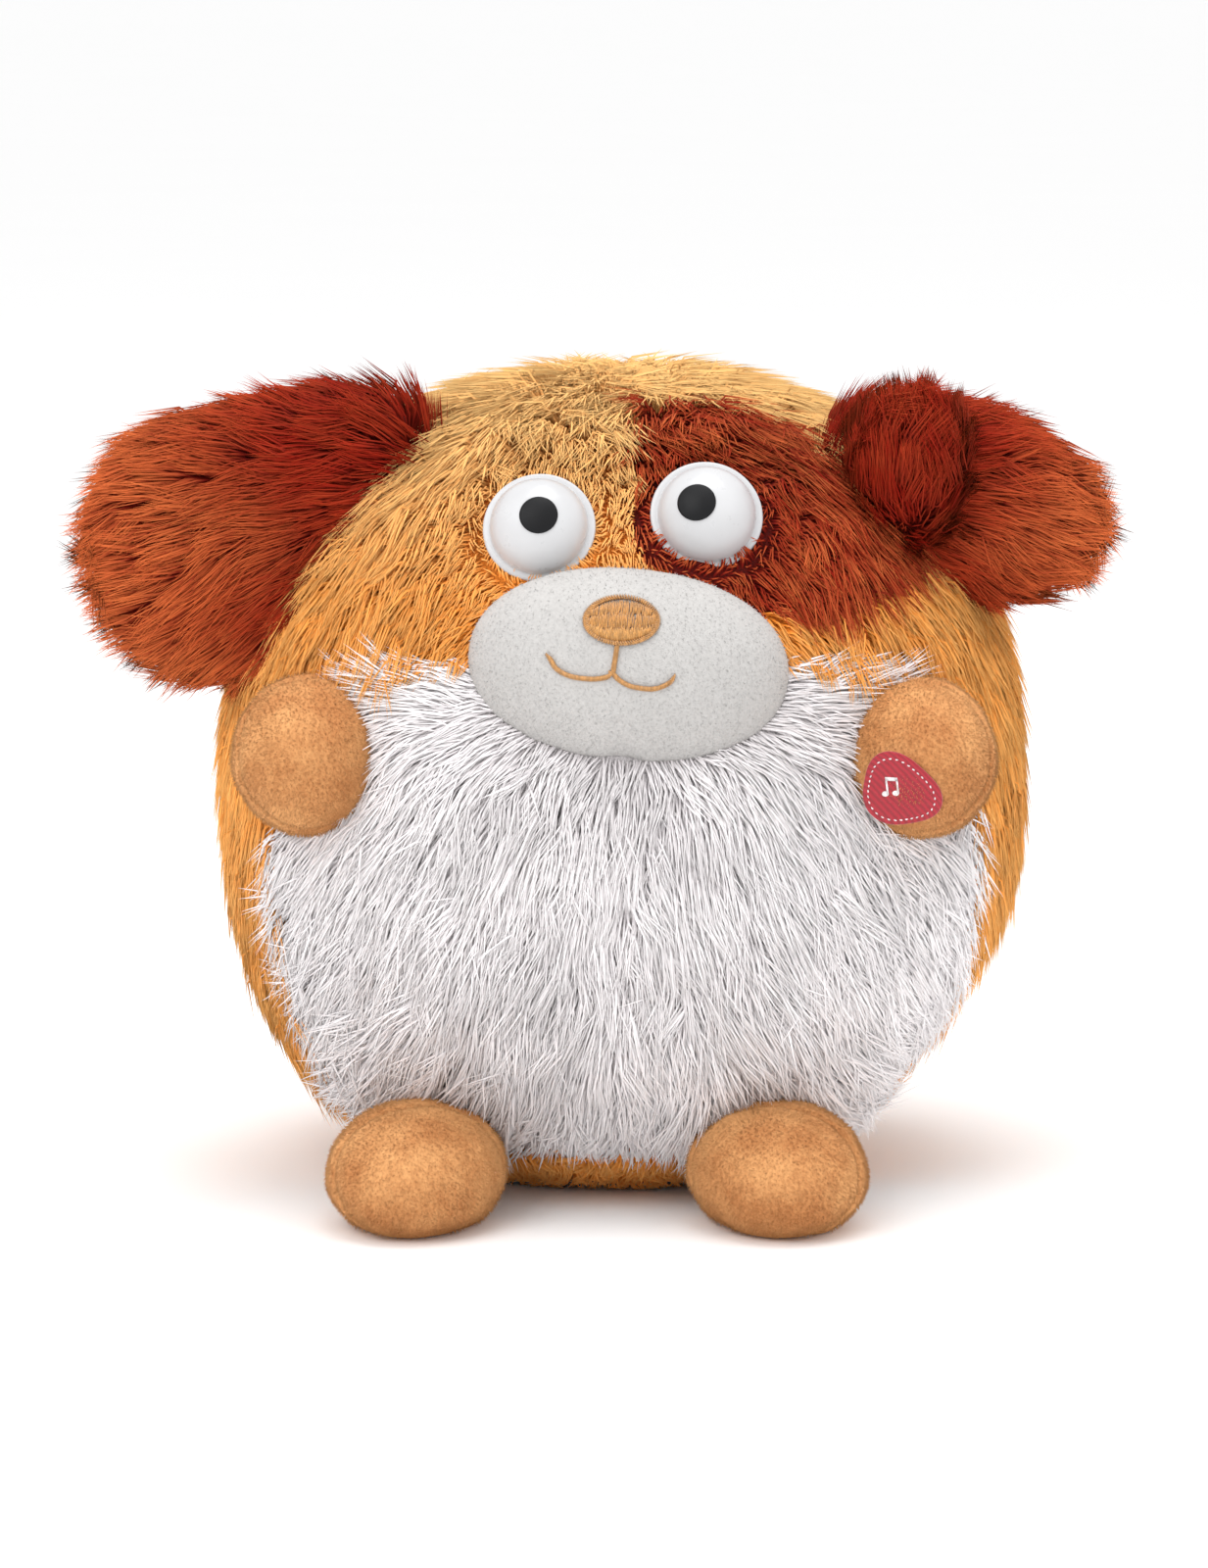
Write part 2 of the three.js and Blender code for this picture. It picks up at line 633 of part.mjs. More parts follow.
// How far the arm's surface is from the switch's root, by halving
function pressLength() {
  const upright = vector(0, 0, 1);
  const centre = armPlace(ARM_RIGHT_X);
  let inside = 0;
  let outside = 2 * ARM_HALF_LENGTH;
  for (let i = 0; i < 40; i += 1) {
    const middle = (inside + outside) / 2;
    const point = pressRoot.clone().addScaledVector(PRESS_OUT, middle).sub(centre);
    point.applyAxisAngle(upright, -ARM_SPLAY);
    const share = Math.hypot(
      point.x / ARM_HALF_WIDTH,
      point.y / ARM_HALF_LENGTH,
      point.z / ARM_HALF_HEIGHT,
    );
    if (share < 1) inside = middle;
    else outside = middle;
  }
  return inside;
}
const PRESS_LENGTH = pressLength();
const pressAt = (height) => pressRoot.clone().addScaledVector(PRESS_OUT, PRESS_LENGTH + height);
const BADGE_BACK = -BADGE_THICKNESS - FIT_GAP;
const CAP_TOP = BADGE_BACK - FIT_GAP;
const CAP_BOTTOM = CAP_TOP - CAP_HEIGHT;
const PUCK_FLOOR_TOP = CAP_BOTTOM - PRESS_TRAVEL - FIT_GAP;
const PUCK_BOTTOM = PUCK_FLOOR_TOP - PUCK_FLOOR;
const PUCK_TOP = PUCK_BOTTOM + PUCK_HEIGHT;

// A rounded triangle, extruded along the press direction
function badgeForm(grow, low, high) {
  const outline = roundOutline((angle) => {
    const radius = (BADGE_RADIUS + grow) * (1 - BADGE_CORNER_BULGE * Math.cos(3 * angle + Math.PI / 2));
    return new THREE.Vector2(radius * Math.cos(angle), radius * Math.sin(angle));
  }, 24);
  const geometry = new THREE.ExtrudeGeometry(outline, { depth: high - low, bevelEnabled: false });
  geometry.rotateX(-Math.PI / 2);
  geometry.translate(0, low, 0);
  return aim(solid(geometry), PRESS_OUT, pressAt(0));
}

const pressRod = (radius, low, high) => rod(radius, pressAt(low), pressAt(high), 18);

const pressBadge = () => badgeForm(0, BADGE_BACK, -FIT_GAP);
const pressCap = () => pressRod(CAP_RADIUS, CAP_BOTTOM, CAP_TOP);

function pressPuck() {
  const bore = pressRod(CAP_RADIUS + FIT_GAP, PUCK_FLOOR_TOP, PUCK_TOP + 1);
  return cut(pressRod(PUCK_RADIUS, PUCK_BOTTOM, PUCK_TOP), bore);
}

// Room for the whole switch at every press, open to the front
function pressRoom() {
  return join(
    badgeForm(FIT_GAP, BADGE_BACK - PRESS_TRAVEL - FIT_GAP, FAR / 20),
    pressRod(CAP_RADIUS + FIT_GAP, PUCK_TOP - 1, BADGE_BACK),
    pressRod(PUCK_RADIUS + FIT_GAP, PUCK_BOTTOM - FIT_GAP, PUCK_TOP + FIT_GAP),
  );
}

// ---------------------------------------------------------------- leads
const PAW_ROUTE = [
  pressAt(PUCK_BOTTOM - FIT_GAP),
  pressAt(PUCK_BOTTOM - 6),
  vector(72, -62, 126),
  vector(60, -36, 116),
  vector(COVER_HALF_WIDTH + 3, -14, 104),
  vector(COVER_HALF_WIDTH - 9, -6, 98),
  vector(22, BOARD_Y - 4, 94),
  vector(22, BOARD_Y - FIT_GAP, 94),
];

const PAW_STEPS = 20;

const leadRoom = (route, steps) => tube(LEAD_RADIUS + LEAD_ROOM, route, steps, 6);

// ---------------------------------------------------------------- ears
const earPivotX = (side) => side * EAR_PIVOT_X;

// The lever's bar, from its hub out into the ear, grown by a clearance
function leverBar(side, grow, reach) {
  const angle = side === SIDE_LEFT ? Math.PI - LEVER_LIFT : LEVER_LIFT;
  const depth = GEAR_REAR_Y - GEAR_FRONT_Y + 2 * grow;
  const geometry = new THREE.BoxGeometry(reach + grow, depth, LEVER_THICKNESS + 2 * grow);
  geometry.translate((reach + grow) / 2, EAR_Y, 0);
  geometry.rotateY(-angle);
  geometry.translate(earPivotX(side), 0, EAR_PIVOT_Z);
  return solid(geometry);
}

// All that the lever's bar passes through between its two limits: a wedge from the pivot
function leverSweep(side) {
  const middle = side === SIDE_LEFT ? Math.PI - LEVER_LIFT : LEVER_LIFT;
  const swing = THREE.MathUtils.degToRad(EAR_SWING + 1);
  const half = LEVER_THICKNESS / 2 + LEVER_CLEARANCE;
  const corner = (angle, along, across) => new THREE.Vector2(
    earPivotX(side) + along * Math.cos(angle) - across * Math.sin(angle),
    EAR_PIVOT_Z + along * Math.sin(angle) + across * Math.cos(angle),
  );
  const wedge = new THREE.Shape();
  wedge.setFromPoints([
    corner(middle - swing, 0, -half),
    corner(middle - swing, LEVER_REACH, -half),
    corner(middle + swing, LEVER_REACH, half),
    corner(middle + swing, 0, half),
  ]);
  return plate(wedge, GEAR_FRONT_Y - LEVER_CLEARANCE, GEAR_REAR_Y + LEVER_CLEARANCE);
}

// All that the head would sweep through if the ear stood still and the head swung
function headSweep(side) {
  const rearY = EAR_Y + EAR_THICKNESS / 2;
  const head = plate(bodyOutline(rearY, EAR_CLEARANCE), EAR_Y - FAR / 4, rearY + 1);
  const steps = [-EAR_SWING, 0, EAR_SWING];
  return join(...steps.map((angle) => swung(head, earPivotX(side), EAR_PIVOT_Z, angle)));
}

function earPocket(side) {
  return leverBar(side, FIT_GAP, LEVER_REACH);
}

function earLeftPlush() {
  const outline = smoothOutline([
    [-22, 5], [-20, 29], [4, 34], [34, 28], [56, 19], [64, -1],
    [59, -21], [41, -36], [14, -35], [-8, -27],
  ].map(([out, up]) => [-EAR_ROOT_X - out, EAR_ROOT_Z + up]), 30);
  const slab = cushion(outline, EAR_Y - EAR_THICKNESS / 2, EAR_Y + EAR_THICKNESS / 2, EAR_ROUNDING);
  return cut(slab, headSweep(SIDE_LEFT), earPocket(SIDE_LEFT));
}

// The right ear is folded over: its upper lobe is turned down in front of the rest
function earRightPlush() {
  const outline = smoothOutline([
    [-22, 11], [-14, 31], [6, 35], [26, 29], [43, 20], [53, 5],
    [47, -11], [29, -16], [10, -15], [-8, -12],
  ].map(([out, up]) => [EAR_ROOT_X + out, EAR_ROOT_Z + up]), 30);
  const lobe = smoothOutline([
    [-6, 11], [-2, 31], [14, 36], [26, 25], [22, 9], [8, 3],
  ].map(([out, up]) => [EAR_ROOT_X + out, EAR_ROOT_Z + up]), 20);
  const front = EAR_Y - EAR_THICKNESS / 2;
  const slab = join(
    cushion(outline, front, EAR_Y + EAR_THICKNESS / 2, EAR_ROUNDING),
    cushion(lobe, front - LOBE_HALF_DEPTH, front + LOBE_HALF_DEPTH, LOBE_ROUNDING),
  );
  return cut(slab, headSweep(SIDE_RIGHT), earPocket(SIDE_RIGHT));
}

// ---------------------------------------------------------------- gears
const PRESSURE_ANGLE = THREE.MathUtils.degToRad(20);
const TOOTH_SHARE = 0.43;
const ADDENDUM = 0.8;
const DEDENDUM = 1.2;
const involute = (angle) => Math.tan(angle) - angle;

// Half the angle that a tooth fills at a radius
function toothHalfAngle(teeth, module, radius) {
  const pitch = teeth * module / 2;
  const base = pitch * Math.cos(PRESSURE_ANGLE);
  const slope = radius > base ? Math.acos(base / radius) : 0;
  return TOOTH_SHARE * Math.PI / teeth + involute(PRESSURE_ANGLE) - involute(slope);
}

// The points of one tooth round a centre, from its root on one side to its root on the other
function toothPoints(teeth, module, angle) {
  const pitch = teeth * module / 2;
  const root = pitch - DEDENDUM * module;
  const radii = [root, pitch, pitch + ADDENDUM * module];
  const halves = radii.map((radius) => toothHalfAngle(teeth, module, radius));
  const rise = radii.map((radius, i) => [radius, angle - halves[i]]);
  const fall = radii.map((radius, i) => [radius, angle + halves[i]]).reverse();
  return [...rise, ...fall];
}

function polar(x, z, [radius, angle]) {
  return new THREE.Vector2(x + radius * Math.cos(angle), z + radius * Math.sin(angle));
}

// A whole gear whose first tooth points along an angle
function gear(teeth, module, x, z, firstTooth, y0, y1) {
  const points = [];
  for (let i = 0; i < teeth; i += 1) {
    const angle = firstTooth + 2 * Math.PI * i / teeth;
    points.push(...toothPoints(teeth, module, angle).map((p) => polar(x, z, p)));
  }
  const outline = new THREE.Shape();
  outline.setFromPoints(points);
  return plate(outline, y0, y1);
}

// A sector with an odd number of teeth centred on an angle, and its hub as the far corner
function sectorGear(x, z, middle, offset, y0, y1) {
  const pitchAngle = 2 * Math.PI / EAR_GEAR_TEETH;
  const reach = Math.ceil(THREE.MathUtils.degToRad(EAR_SWING) / pitchAngle) + 1;
  const points = [new THREE.Vector2(x, z)];
  for (let i = -reach; i <= reach + (offset ? 1 : 0); i += 1) {
    const angle = middle + (i - offset) * pitchAngle;
    points.push(...toothPoints(EAR_GEAR_TEETH, EAR_GEAR_MODULE, angle).map((p) => polar(x, z, p)));
  }
  const outline = new THREE.Shape();
  outline.setFromPoints(points);
  return plate(outline, y0, y1);
}

function axle(x, z) {
  return rodAlongY(AXLE_RADIUS, x, z, PLATE_FRONT_FRONT_Y + FIT_GAP, PLATE_BACK_REAR_Y - FIT_GAP);
}

function earLever(side) {
  const x = earPivotX(side);
  const inward = side === SIDE_LEFT ? 0 : Math.PI;
  const halfTooth = side === SIDE_LEFT ? 0 : 0.5;
  return join(
    sectorGear(x, EAR_PIVOT_Z, inward, halfTooth, GEAR_MIDDLE_Y, GEAR_REAR_Y),
    rodAlongY(HUB_RADIUS, x, EAR_PIVOT_Z, GEAR_FRONT_Y, GEAR_REAR_Y),
    leverBar(side, 0, LEVER_REACH),
    axle(x, EAR_PIVOT_Z),
  );
}

function idlerGear(side) {
  const firstTooth = side === SIDE_LEFT ? Math.PI / EAR_GEAR_TEETH : 0;
  const x = side * IDLER_X;
  const wheel = gear(EAR_GEAR_TEETH, EAR_GEAR_MODULE, x, EAR_PIVOT_Z, firstTooth, GEAR_MIDDLE_Y, GEAR_REAR_Y);
  const boss = rodAlongY(2 * AXLE_RADIUS, x, EAR_PIVOT_Z, GEAR_FRONT_Y, GEAR_REAR_Y);
  return join(wheel, boss, axle(x, EAR_PIVOT_Z));
}

function compoundGear() {
  const up = Math.PI / 2;
  const wheelRear = GEAR_MIDDLE_Y - LAYER_GAP;
  return join(
    gear(PINION_TEETH, EAR_GEAR_MODULE, COMPOUND_X, COMPOUND_Z, up, wheelRear - SINK, GEAR_REAR_Y),
    gear(WHEEL_TEETH, WHEEL_MODULE, COMPOUND_X, COMPOUND_Z, -up, GEAR_FRONT_Y, wheelRear),
    axle(COMPOUND_X, COMPOUND_Z),
  );
}

function motorPinion() {
  const upGap = Math.PI / 2 + Math.PI / MOTOR_TEETH;
  const rear = GEAR_MIDDLE_Y - LAYER_GAP;
  return join(
    gear(MOTOR_TEETH, WHEEL_MODULE, COMPOUND_X, MOTOR_Z, upGap, GEAR_FRONT_Y, rear),
    rodAlongY(SHAFT_RADIUS, COMPOUND_X, MOTOR_Z, GEAR_FRONT_Y + SINK, MOTOR_FRONT_Y + SHAFT_IN_MOTOR, 12),
  );
}

function motorCan() {
  const rear = MOTOR_FRONT_Y + MOTOR_LENGTH;
  const can = rodAlongY(MOTOR_RADIUS, COMPOUND_X, MOTOR_Z, MOTOR_FRONT_Y, rear, 28);
  const cap = rodAlongY(MOTOR_RADIUS / 2, COMPOUND_X, MOTOR_Z, rear - SINK, rear + MOTOR_CAP_HEIGHT, 20);
  const bore = rodAlongY(SHAFT_RADIUS + FIT_GAP, COMPOUND_X, MOTOR_Z,
    MOTOR_FRONT_Y - OVERRUN, MOTOR_FRONT_Y + SHAFT_BORE_DEPTH, 12);
  return cut(join(can, cap), bore);
}

// ---------------------------------------------------------------- gear plates
const AXLE_PLACES = [
  [-EAR_PIVOT_X, EAR_PIVOT_Z],
  [-IDLER_X, EAR_PIVOT_Z],
  [IDLER_X, EAR_PIVOT_Z],
  [EAR_PIVOT_X, EAR_PIVOT_Z],
  [COMPOUND_X, COMPOUND_Z],
];

function plateOutline() {
  const endX = EAR_PIVOT_X + HUB_RADIUS;
  const shoulderX = IDLER_X + PLATE_SHOULDER;
  const chamferX = endX - PLATE_END_CHAMFER;
  const topZ = EAR_PIVOT_Z + EAR_GEAR_RADIUS + PLATE_MARGIN;
  const lowZ = EAR_PIVOT_Z - EAR_GEAR_RADIUS - PLATE_MARGIN;
  const riseZ = EAR_PIVOT_Z + PLATE_END_RISE;
  const dropZ = EAR_PIVOT_Z - PLATE_END_DROP;
  const stemLeft = COMPOUND_X - MOTOR_RADIUS - STEM_MARGIN;
  const stemRight = COMPOUND_X + MOTOR_RADIUS + STEM_MARGIN;
  const stemLow = MOTOR_Z - STEM_DROP;
  const outline = new THREE.Shape();
  outline.setFromPoints([
    [-shoulderX, topZ],
    [-chamferX, riseZ],
    [-endX, EAR_PIVOT_Z],
    [-chamferX, dropZ],
    [-EAR_PIVOT_X + HUB_RADIUS + PLATE_LOW_LEFT, lowZ],
    [stemLeft, lowZ],
    [stemLeft, stemLow],
    [stemRight, stemLow],
    [stemRight, lowZ],
    [EAR_PIVOT_X - HUB_RADIUS - PLATE_LOW_RIGHT, lowZ],
    [chamferX, dropZ],
    [endX, EAR_PIVOT_Z],
    [chamferX, riseZ],
    [shoulderX, topZ],
  ].map(([x, z]) => new THREE.Vector2(x, z)));
  return outline;
}

function axleHoles(y0, y1) {
  const radius = AXLE_RADIUS + AXLE_CLEARANCE;
  return join(...AXLE_PLACES.map(([x, z]) => rodAlongY(radius, x, z, y0 - OVERRUN, y1 + OVERRUN)));
}

function gearPlateBack() {
  const flat = plate(plateOutline(), PLATE_BACK_FRONT_Y, PLATE_BACK_REAR_Y);
  const posts = POSTS.map(([x, z]) => (
    rodAlongY(POST_RADIUS, x, z, PLATE_FRONT_REAR_Y + FIT_GAP, PLATE_BACK_REAR_Y - SINK)
  ));
  const threads = POSTS.slice(1).map(([x, z]) => (
    rodAlongY(SCREW_RADIUS + SCREW_CLEARANCE, x, z, PLATE_FRONT_REAR_Y - OVERRUN, PLATE_BACK_FRONT_Y, 12)
  ));
  const shaftHole = rodAlongY(SHAFT_HOLE_RADIUS, COMPOUND_X, MOTOR_Z,
    PLATE_BACK_FRONT_Y - OVERRUN, PLATE_BACK_REAR_Y + OVERRUN);
  const holes = axleHoles(PLATE_BACK_FRONT_Y, PLATE_BACK_REAR_Y);
  return cut(join(flat, ...posts), holes, shaftHole, ...threads);
}

function gearPlateFront() {
  const flat = plate(plateOutline(), PLATE_FRONT_FRONT_Y, PLATE_FRONT_REAR_Y);
  const holes = axleHoles(PLATE_FRONT_FRONT_Y, PLATE_FRONT_REAR_Y);
  const screws = POSTS.slice(1).map(([x, z]) => (
    rodAlongY(SCREW_RADIUS + SCREW_CLEARANCE, x, z,
      PLATE_FRONT_FRONT_Y - OVERRUN, PLATE_FRONT_REAR_Y + OVERRUN, 12)
  ));
  return cut(flat, holes, ...screws);
}

// A pan-head screw with a cross slot, its head's underside at a place and its shank along a direction
function screw(place, direction, length) {
  const at = (distance) => place.clone().addScaledVector(direction, distance);
  const head = rod(SCREW_HEAD_RADIUS, at(-SCREW_HEAD_HEIGHT), at(0), 16);
  const shank = rod(SCREW_RADIUS, at(-SINK), at(length), 10);
  const slot = new THREE.BoxGeometry(SCREW_SLOT_WIDTH, SCREW_SLOT_DEPTH, SCREW_HEAD_RADIUS * 1.3);
  const driver = aim(solid(slot), direction, at(-SCREW_HEAD_HEIGHT));
  return cut(join(head, shank), driver);
}

function gearPlateScrew([x, z]) {
  return screw(vector(x, PLATE_FRONT_FRONT_Y - FIT_GAP, z), vector(0, 1, 0), PLATE_SCREW_LENGTH);
}

// ---------------------------------------------------------------- base tub and cover
const tubBossX = (side) => side * (TUB_HALF_WIDTH - BOSS_INSET);
const TAB_REACH = TUB_HALF_WIDTH - COVER_HALF_WIDTH;

function baseTub() {
  const outer = block(-TUB_HALF_WIDTH, TUB_HALF_WIDTH, -TUB_HALF_DEPTH, TUB_HALF_DEPTH, 0, TUB_HEIGHT);
  const innerX = TUB_HALF_WIDTH - TUB_WALL;
  const innerY = TUB_HALF_DEPTH - TUB_WALL;
  const inside = block(-innerX, innerX, -innerY, innerY, TUB_FLOOR, TUB_HEIGHT + 1);
  const bayX = BAY_HALF_LENGTH + BAY_WALL;
  const bayY = BAY_HALF_WIDTH + BAY_WALL;
  const bayOuter = block(-bayX, bayX, -bayY, bayY, 1, BAY_TOP_Z + BAY_WALL);
  const bay = block(-BAY_HALF_LENGTH, BAY_HALF_LENGTH, -BAY_HALF_WIDTH, BAY_HALF_WIDTH, -1, BAY_TOP_Z);
  const seatX = BAY_HALF_LENGTH + DOOR_LIP + FIT_GAP;
  const seatY = BAY_HALF_WIDTH + DOOR_LIP + FIT_GAP;
  const seatTop = DOOR_THICKNESS + FIT_GAP;
  const seat = block(-seatX - DOOR_TAB, seatX, -seatY, seatY, -1, seatTop);
  const screwBoss = rodAlongZ(3.4, DOOR_SCREW_X, 0, 1, 14);
  const screwHole = rodAlongZ(SCREW_RADIUS + SCREW_CLEARANCE, DOOR_SCREW_X, 0, -1, 12, 12);
  const bosses = [SIDE_LEFT, SIDE_RIGHT].map((side) => (
    block(tubBossX(side) - BOSS_HALF_WIDTH, tubBossX(side) + BOSS_HALF_WIDTH,
      -BOSS_HALF_DEPTH, BOSS_HALF_DEPTH, TUB_HEIGHT - BOSS_DEPTH, TUB_HEIGHT)
  ));
  const bossHoles = [SIDE_LEFT, SIDE_RIGHT].map((side) => (
    rodAlongZ(SCREW_RADIUS + SCREW_CLEARANCE, tubBossX(side), 0,
      TUB_HEIGHT - CASE_SCREW_LENGTH - OVERRUN, TUB_HEIGHT + OVERRUN, 12)
  ));
  const halfTravel = SWITCH_TRAVEL / 2;
  const knobHalf = SWITCH_KNOB_LENGTH / 2;
  const recess = block(SWITCH_X - 3, SWITCH_X + 3, -8, 8, -1, SWITCH_RECESS_DEPTH);
  const slot = block(SWITCH_X - SWITCH_KNOB_WIDTH / 2 - FIT_GAP, SWITCH_X + SWITCH_KNOB_WIDTH / 2 + FIT_GAP,
    -halfTravel - knobHalf - FIT_GAP, halfTravel + knobHalf + FIT_GAP, -1, TUB_FLOOR + 1);
  const shellWithBay = join(cut(outer, inside), bayOuter, screwBoss, ...bosses);
  return cut(shellWithBay, bay, seat, screwHole, ...bossHoles, recess, slot);
}

function unitCover() {
  const x = COVER_HALF_WIDTH;
  const outer = block(-x, x, COVER_FRONT_Y, COVER_BACK_Y, COVER_BOTTOM_Z, COVER_TOP_Z);
  const inside = block(-x + COVER_WALL, x - COVER_WALL, COVER_FRONT_Y + COVER_WALL, COVER_BACK_Y - COVER_WALL,
    COVER_BOTTOM_Z - 1, COVER_TOP_Z - COVER_WALL);
  const tabs = [SIDE_LEFT, SIDE_RIGHT].map((side) => (
    sidedBlock(side, x - SINK, x + TAB_REACH,
      -TAB_HALF_DEPTH, TAB_HALF_DEPTH, COVER_BOTTOM_Z, COVER_BOTTOM_Z + TAB_THICKNESS)
  ));
  const tabHoles = [SIDE_LEFT, SIDE_RIGHT].map((side) => (
    rodAlongZ(SCREW_RADIUS + SCREW_CLEARANCE, tubBossX(side), 0, COVER_BOTTOM_Z - 1, COVER_BOTTOM_Z + 5, 12)
  ));
  const headRooms = [SIDE_LEFT, SIDE_RIGHT].map((side) => (
    rodAlongZ(SCREW_HEAD_RADIUS + FIT_GAP, tubBossX(side), 0, COVER_BOTTOM_Z + TAB_THICKNESS,
      COVER_BOTTOM_Z + TAB_THICKNESS + 6, 16)
  ));
  const wallFrontY = COVER_FRONT_Y - OVERRUN;
  const wallRearY = COVER_FRONT_Y + COVER_WALL + OVERRUN;
  const slots = GRILLE_ROWS.map((row) => {
    const half = Math.sqrt((SPEAKER_RADIUS - GRILLE_MARGIN) ** 2 - (row * GRILLE_PITCH) ** 2);
    const z = SPEAKER_Z + row * GRILLE_PITCH;
    return block(-half, half, wallFrontY, wallRearY, z - GRILLE_HALF_SLOT, z + GRILLE_HALF_SLOT);
  });
  const shaftHole = rodAlongY(SHAFT_HOLE_RADIUS, COMPOUND_X, MOTOR_Z, wallFrontY, wallRearY);
  const leadHole = leadRoom(PAW_ROUTE, PAW_STEPS);
  return cut(join(outer, ...tabs), inside, ...tabHoles, ...headRooms, ...slots, shaftHole, leadHole);
}

function caseScrew(side) {
  const place = vector(tubBossX(side), 0, COVER_BOTTOM_Z + TAB_THICKNESS + FIT_GAP);
  return screw(place, vector(0, 0, -1), CASE_SCREW_LENGTH);
}

function batteryDoor() {
  const x = BAY_HALF_LENGTH + DOOR_LIP;
  const y = BAY_HALF_WIDTH + DOOR_LIP;
  const top = DOOR_THICKNESS;
  const panel = block(-x - DOOR_TAB, x, -y, y, 0, top);
  const hole = rodAlongZ(SCREW_HEAD_RADIUS + FIT_GAP, DOOR_SCREW_X, 0, -1, 1.3, 16);
  const through = rodAlongZ(SCREW_RADIUS + SCREW_CLEARANCE, DOOR_SCREW_X, 0, 0, top + 1, 12);
  const grips = [0, 1, 2].map((i) => block(x - 6 - 3 * i, x - 5 - 3 * i, -12, 12, -1, DOOR_GRIP_DEPTH));
  return cut(panel, hole, through, ...grips);
}

function doorScrew() {
  const head = rodAlongZ(SCREW_HEAD_RADIUS, DOOR_SCREW_X, 0, 0.2, 0.9, 16);
  const shank = rodAlongZ(SCREW_RADIUS, DOOR_SCREW_X, 0, SINK, DOOR_SCREW_LENGTH, 10);
  const slot = block(DOOR_SCREW_X - 0.4, DOOR_SCREW_X + 0.4, -1.8, 1.8, 0, 0.5);
  return cut(join(head, shank), slot);
}

// ---------------------------------------------------------------- cells and contacts
// Cells lie along X; the middle one points the other way
const CELL_NAMES = ['cell_front', 'cell_middle', 'cell_rear'];
const CELL_WAYS = [1, -1, 1];
const cellY = (index) => (index - 1) * CELL_PITCH;

function cell(index) {
  const half = CELL_LENGTH / 2;
  const profile = [
    [0, -half],
    [CELL_RADIUS - 0.6, -half],
    [CELL_RADIUS, -half + 0.6],
    [CELL_RADIUS, half - 0.6],
    [CELL_RADIUS - 0.6, half],
    [CELL_NUB_RADIUS, half],
    [CELL_NUB_RADIUS, half + CELL_NUB_HEIGHT],
    [0, half + CELL_NUB_HEIGHT],
  ];
  return aim(turned(profile, 14), vector(CELL_WAYS[index], 0, 0), vector(0, cellY(index), CELL_Z));
}

// A flat contact against one end wall of the bay, reaching over one or two cells
function contactPlate(end, firstCell, lastCell) {
  const wall = BAY_HALF_LENGTH - FIT_GAP;
  const half = CELL_RADIUS - CONTACT_MARGIN;
  return sidedBlock(end, wall - CONTACT_THICKNESS, wall,
    cellY(firstCell) - half, cellY(lastCell) + half, CELL_Z - half, CELL_Z + half);
}

// The coil that presses on a cell's flat end
function contactSpring(index) {
  const end = -CELL_WAYS[index];
  const length = BAY_END_ROOM - 3 * FIT_GAP - CONTACT_THICKNESS - SPRING_WIRE_RADIUS;
  const baseX = BAY_HALF_LENGTH - FIT_GAP - CONTACT_THICKNESS / 2;
  const steps = 8 * SPRING_TURNS;
  const route = [];
  for (let i = 0; i <= steps; i += 1) {
    const angle = 2 * Math.PI * SPRING_TURNS * i / steps;
    const x = end * (baseX - length * i / steps);
    const y = cellY(index) + SPRING_RADIUS * Math.cos(angle);
    route.push(vector(x, y, CELL_Z + SPRING_RADIUS * Math.sin(angle)));
  }
  return tube(SPRING_WIRE_RADIUS, route, steps, 5);
}

// ---------------------------------------------------------------- sound unit and switch
function speakerFrame() {
  const front = COVER_FRONT_Y + COVER_WALL + FIT_GAP;
  const profile = [
    [SPEAKER_RADIUS - 2.5, 0],
    [SPEAKER_RADIUS, 0],
    [SPEAKER_RADIUS, 2],
    [SPEAKER_RADIUS - 4, SPEAKER_DEPTH],
    [5, SPEAKER_DEPTH],
    [5, SPEAKER_DEPTH - 1.2],
    [SPEAKER_RADIUS - 5.4, SPEAKER_DEPTH - 1.2],
    [SPEAKER_RADIUS - 2.5, 3],
    [SPEAKER_RADIUS - 2.5, 0],
  ];
  return aim(turned(profile), vector(0, 1, 0), vector(0, front, SPEAKER_Z));
}

function speakerCone() {
  const front = COVER_FRONT_Y + COVER_WALL + FIT_GAP;
  const profile = [
    [0, 4.5],
    [5, 6],
    [SPEAKER_RADIUS - 6, 1.5],
    [SPEAKER_RADIUS - 3, 1.5],
    [SPEAKER_RADIUS - 3, 2.3],
    [SPEAKER_RADIUS - 6, 2.5],
    [5, 7.2],
    [0, 5.7],
  ];
  return aim(turned(profile), vector(0, 1, 0), vector(0, front, SPEAKER_Z));
}

function speakerMagnet() {
  const rear = COVER_FRONT_Y + COVER_WALL + SPEAKER_DEPTH + 2 * FIT_GAP;
  return rodAlongY(MAGNET_RADIUS, 0, SPEAKER_Z, rear, rear + MAGNET_HEIGHT, 24);
}

function circuitBoard() {
  const rear = BOARD_Y + BOARD_THICKNESS;
  const board = block(-BOARD_HALF_WIDTH, BOARD_HALF_WIDTH, BOARD_Y, rear, BOARD_BOTTOM_Z, BOARD_TOP_Z);
  const partZ = BOARD_BOTTOM_Z + PARTS_RISE;
  const chipZ = (BOARD_BOTTOM_Z + BOARD_TOP_Z) / 2;
  const chip = block(-CHIP_HALF_WIDTH, CHIP_HALF_WIDTH, rear - SINK, rear + CHIP_HEIGHT,
    chipZ - CHIP_HALF_LENGTH, chipZ + CHIP_HALF_LENGTH);
  const driver = block(DRIVER_X, DRIVER_X + DRIVER_SIZE, rear - SINK, rear + CHIP_HEIGHT,
    partZ, partZ + DRIVER_SIZE);
  const capacitors = CAPACITOR_PLACES.map((x) => (
    rodAlongY(CAPACITOR_RADIUS, x, partZ, rear - SINK, rear + CAPACITOR_HEIGHT, 12)
  ));
  return join(board, chip, driver, ...capacitors);
}

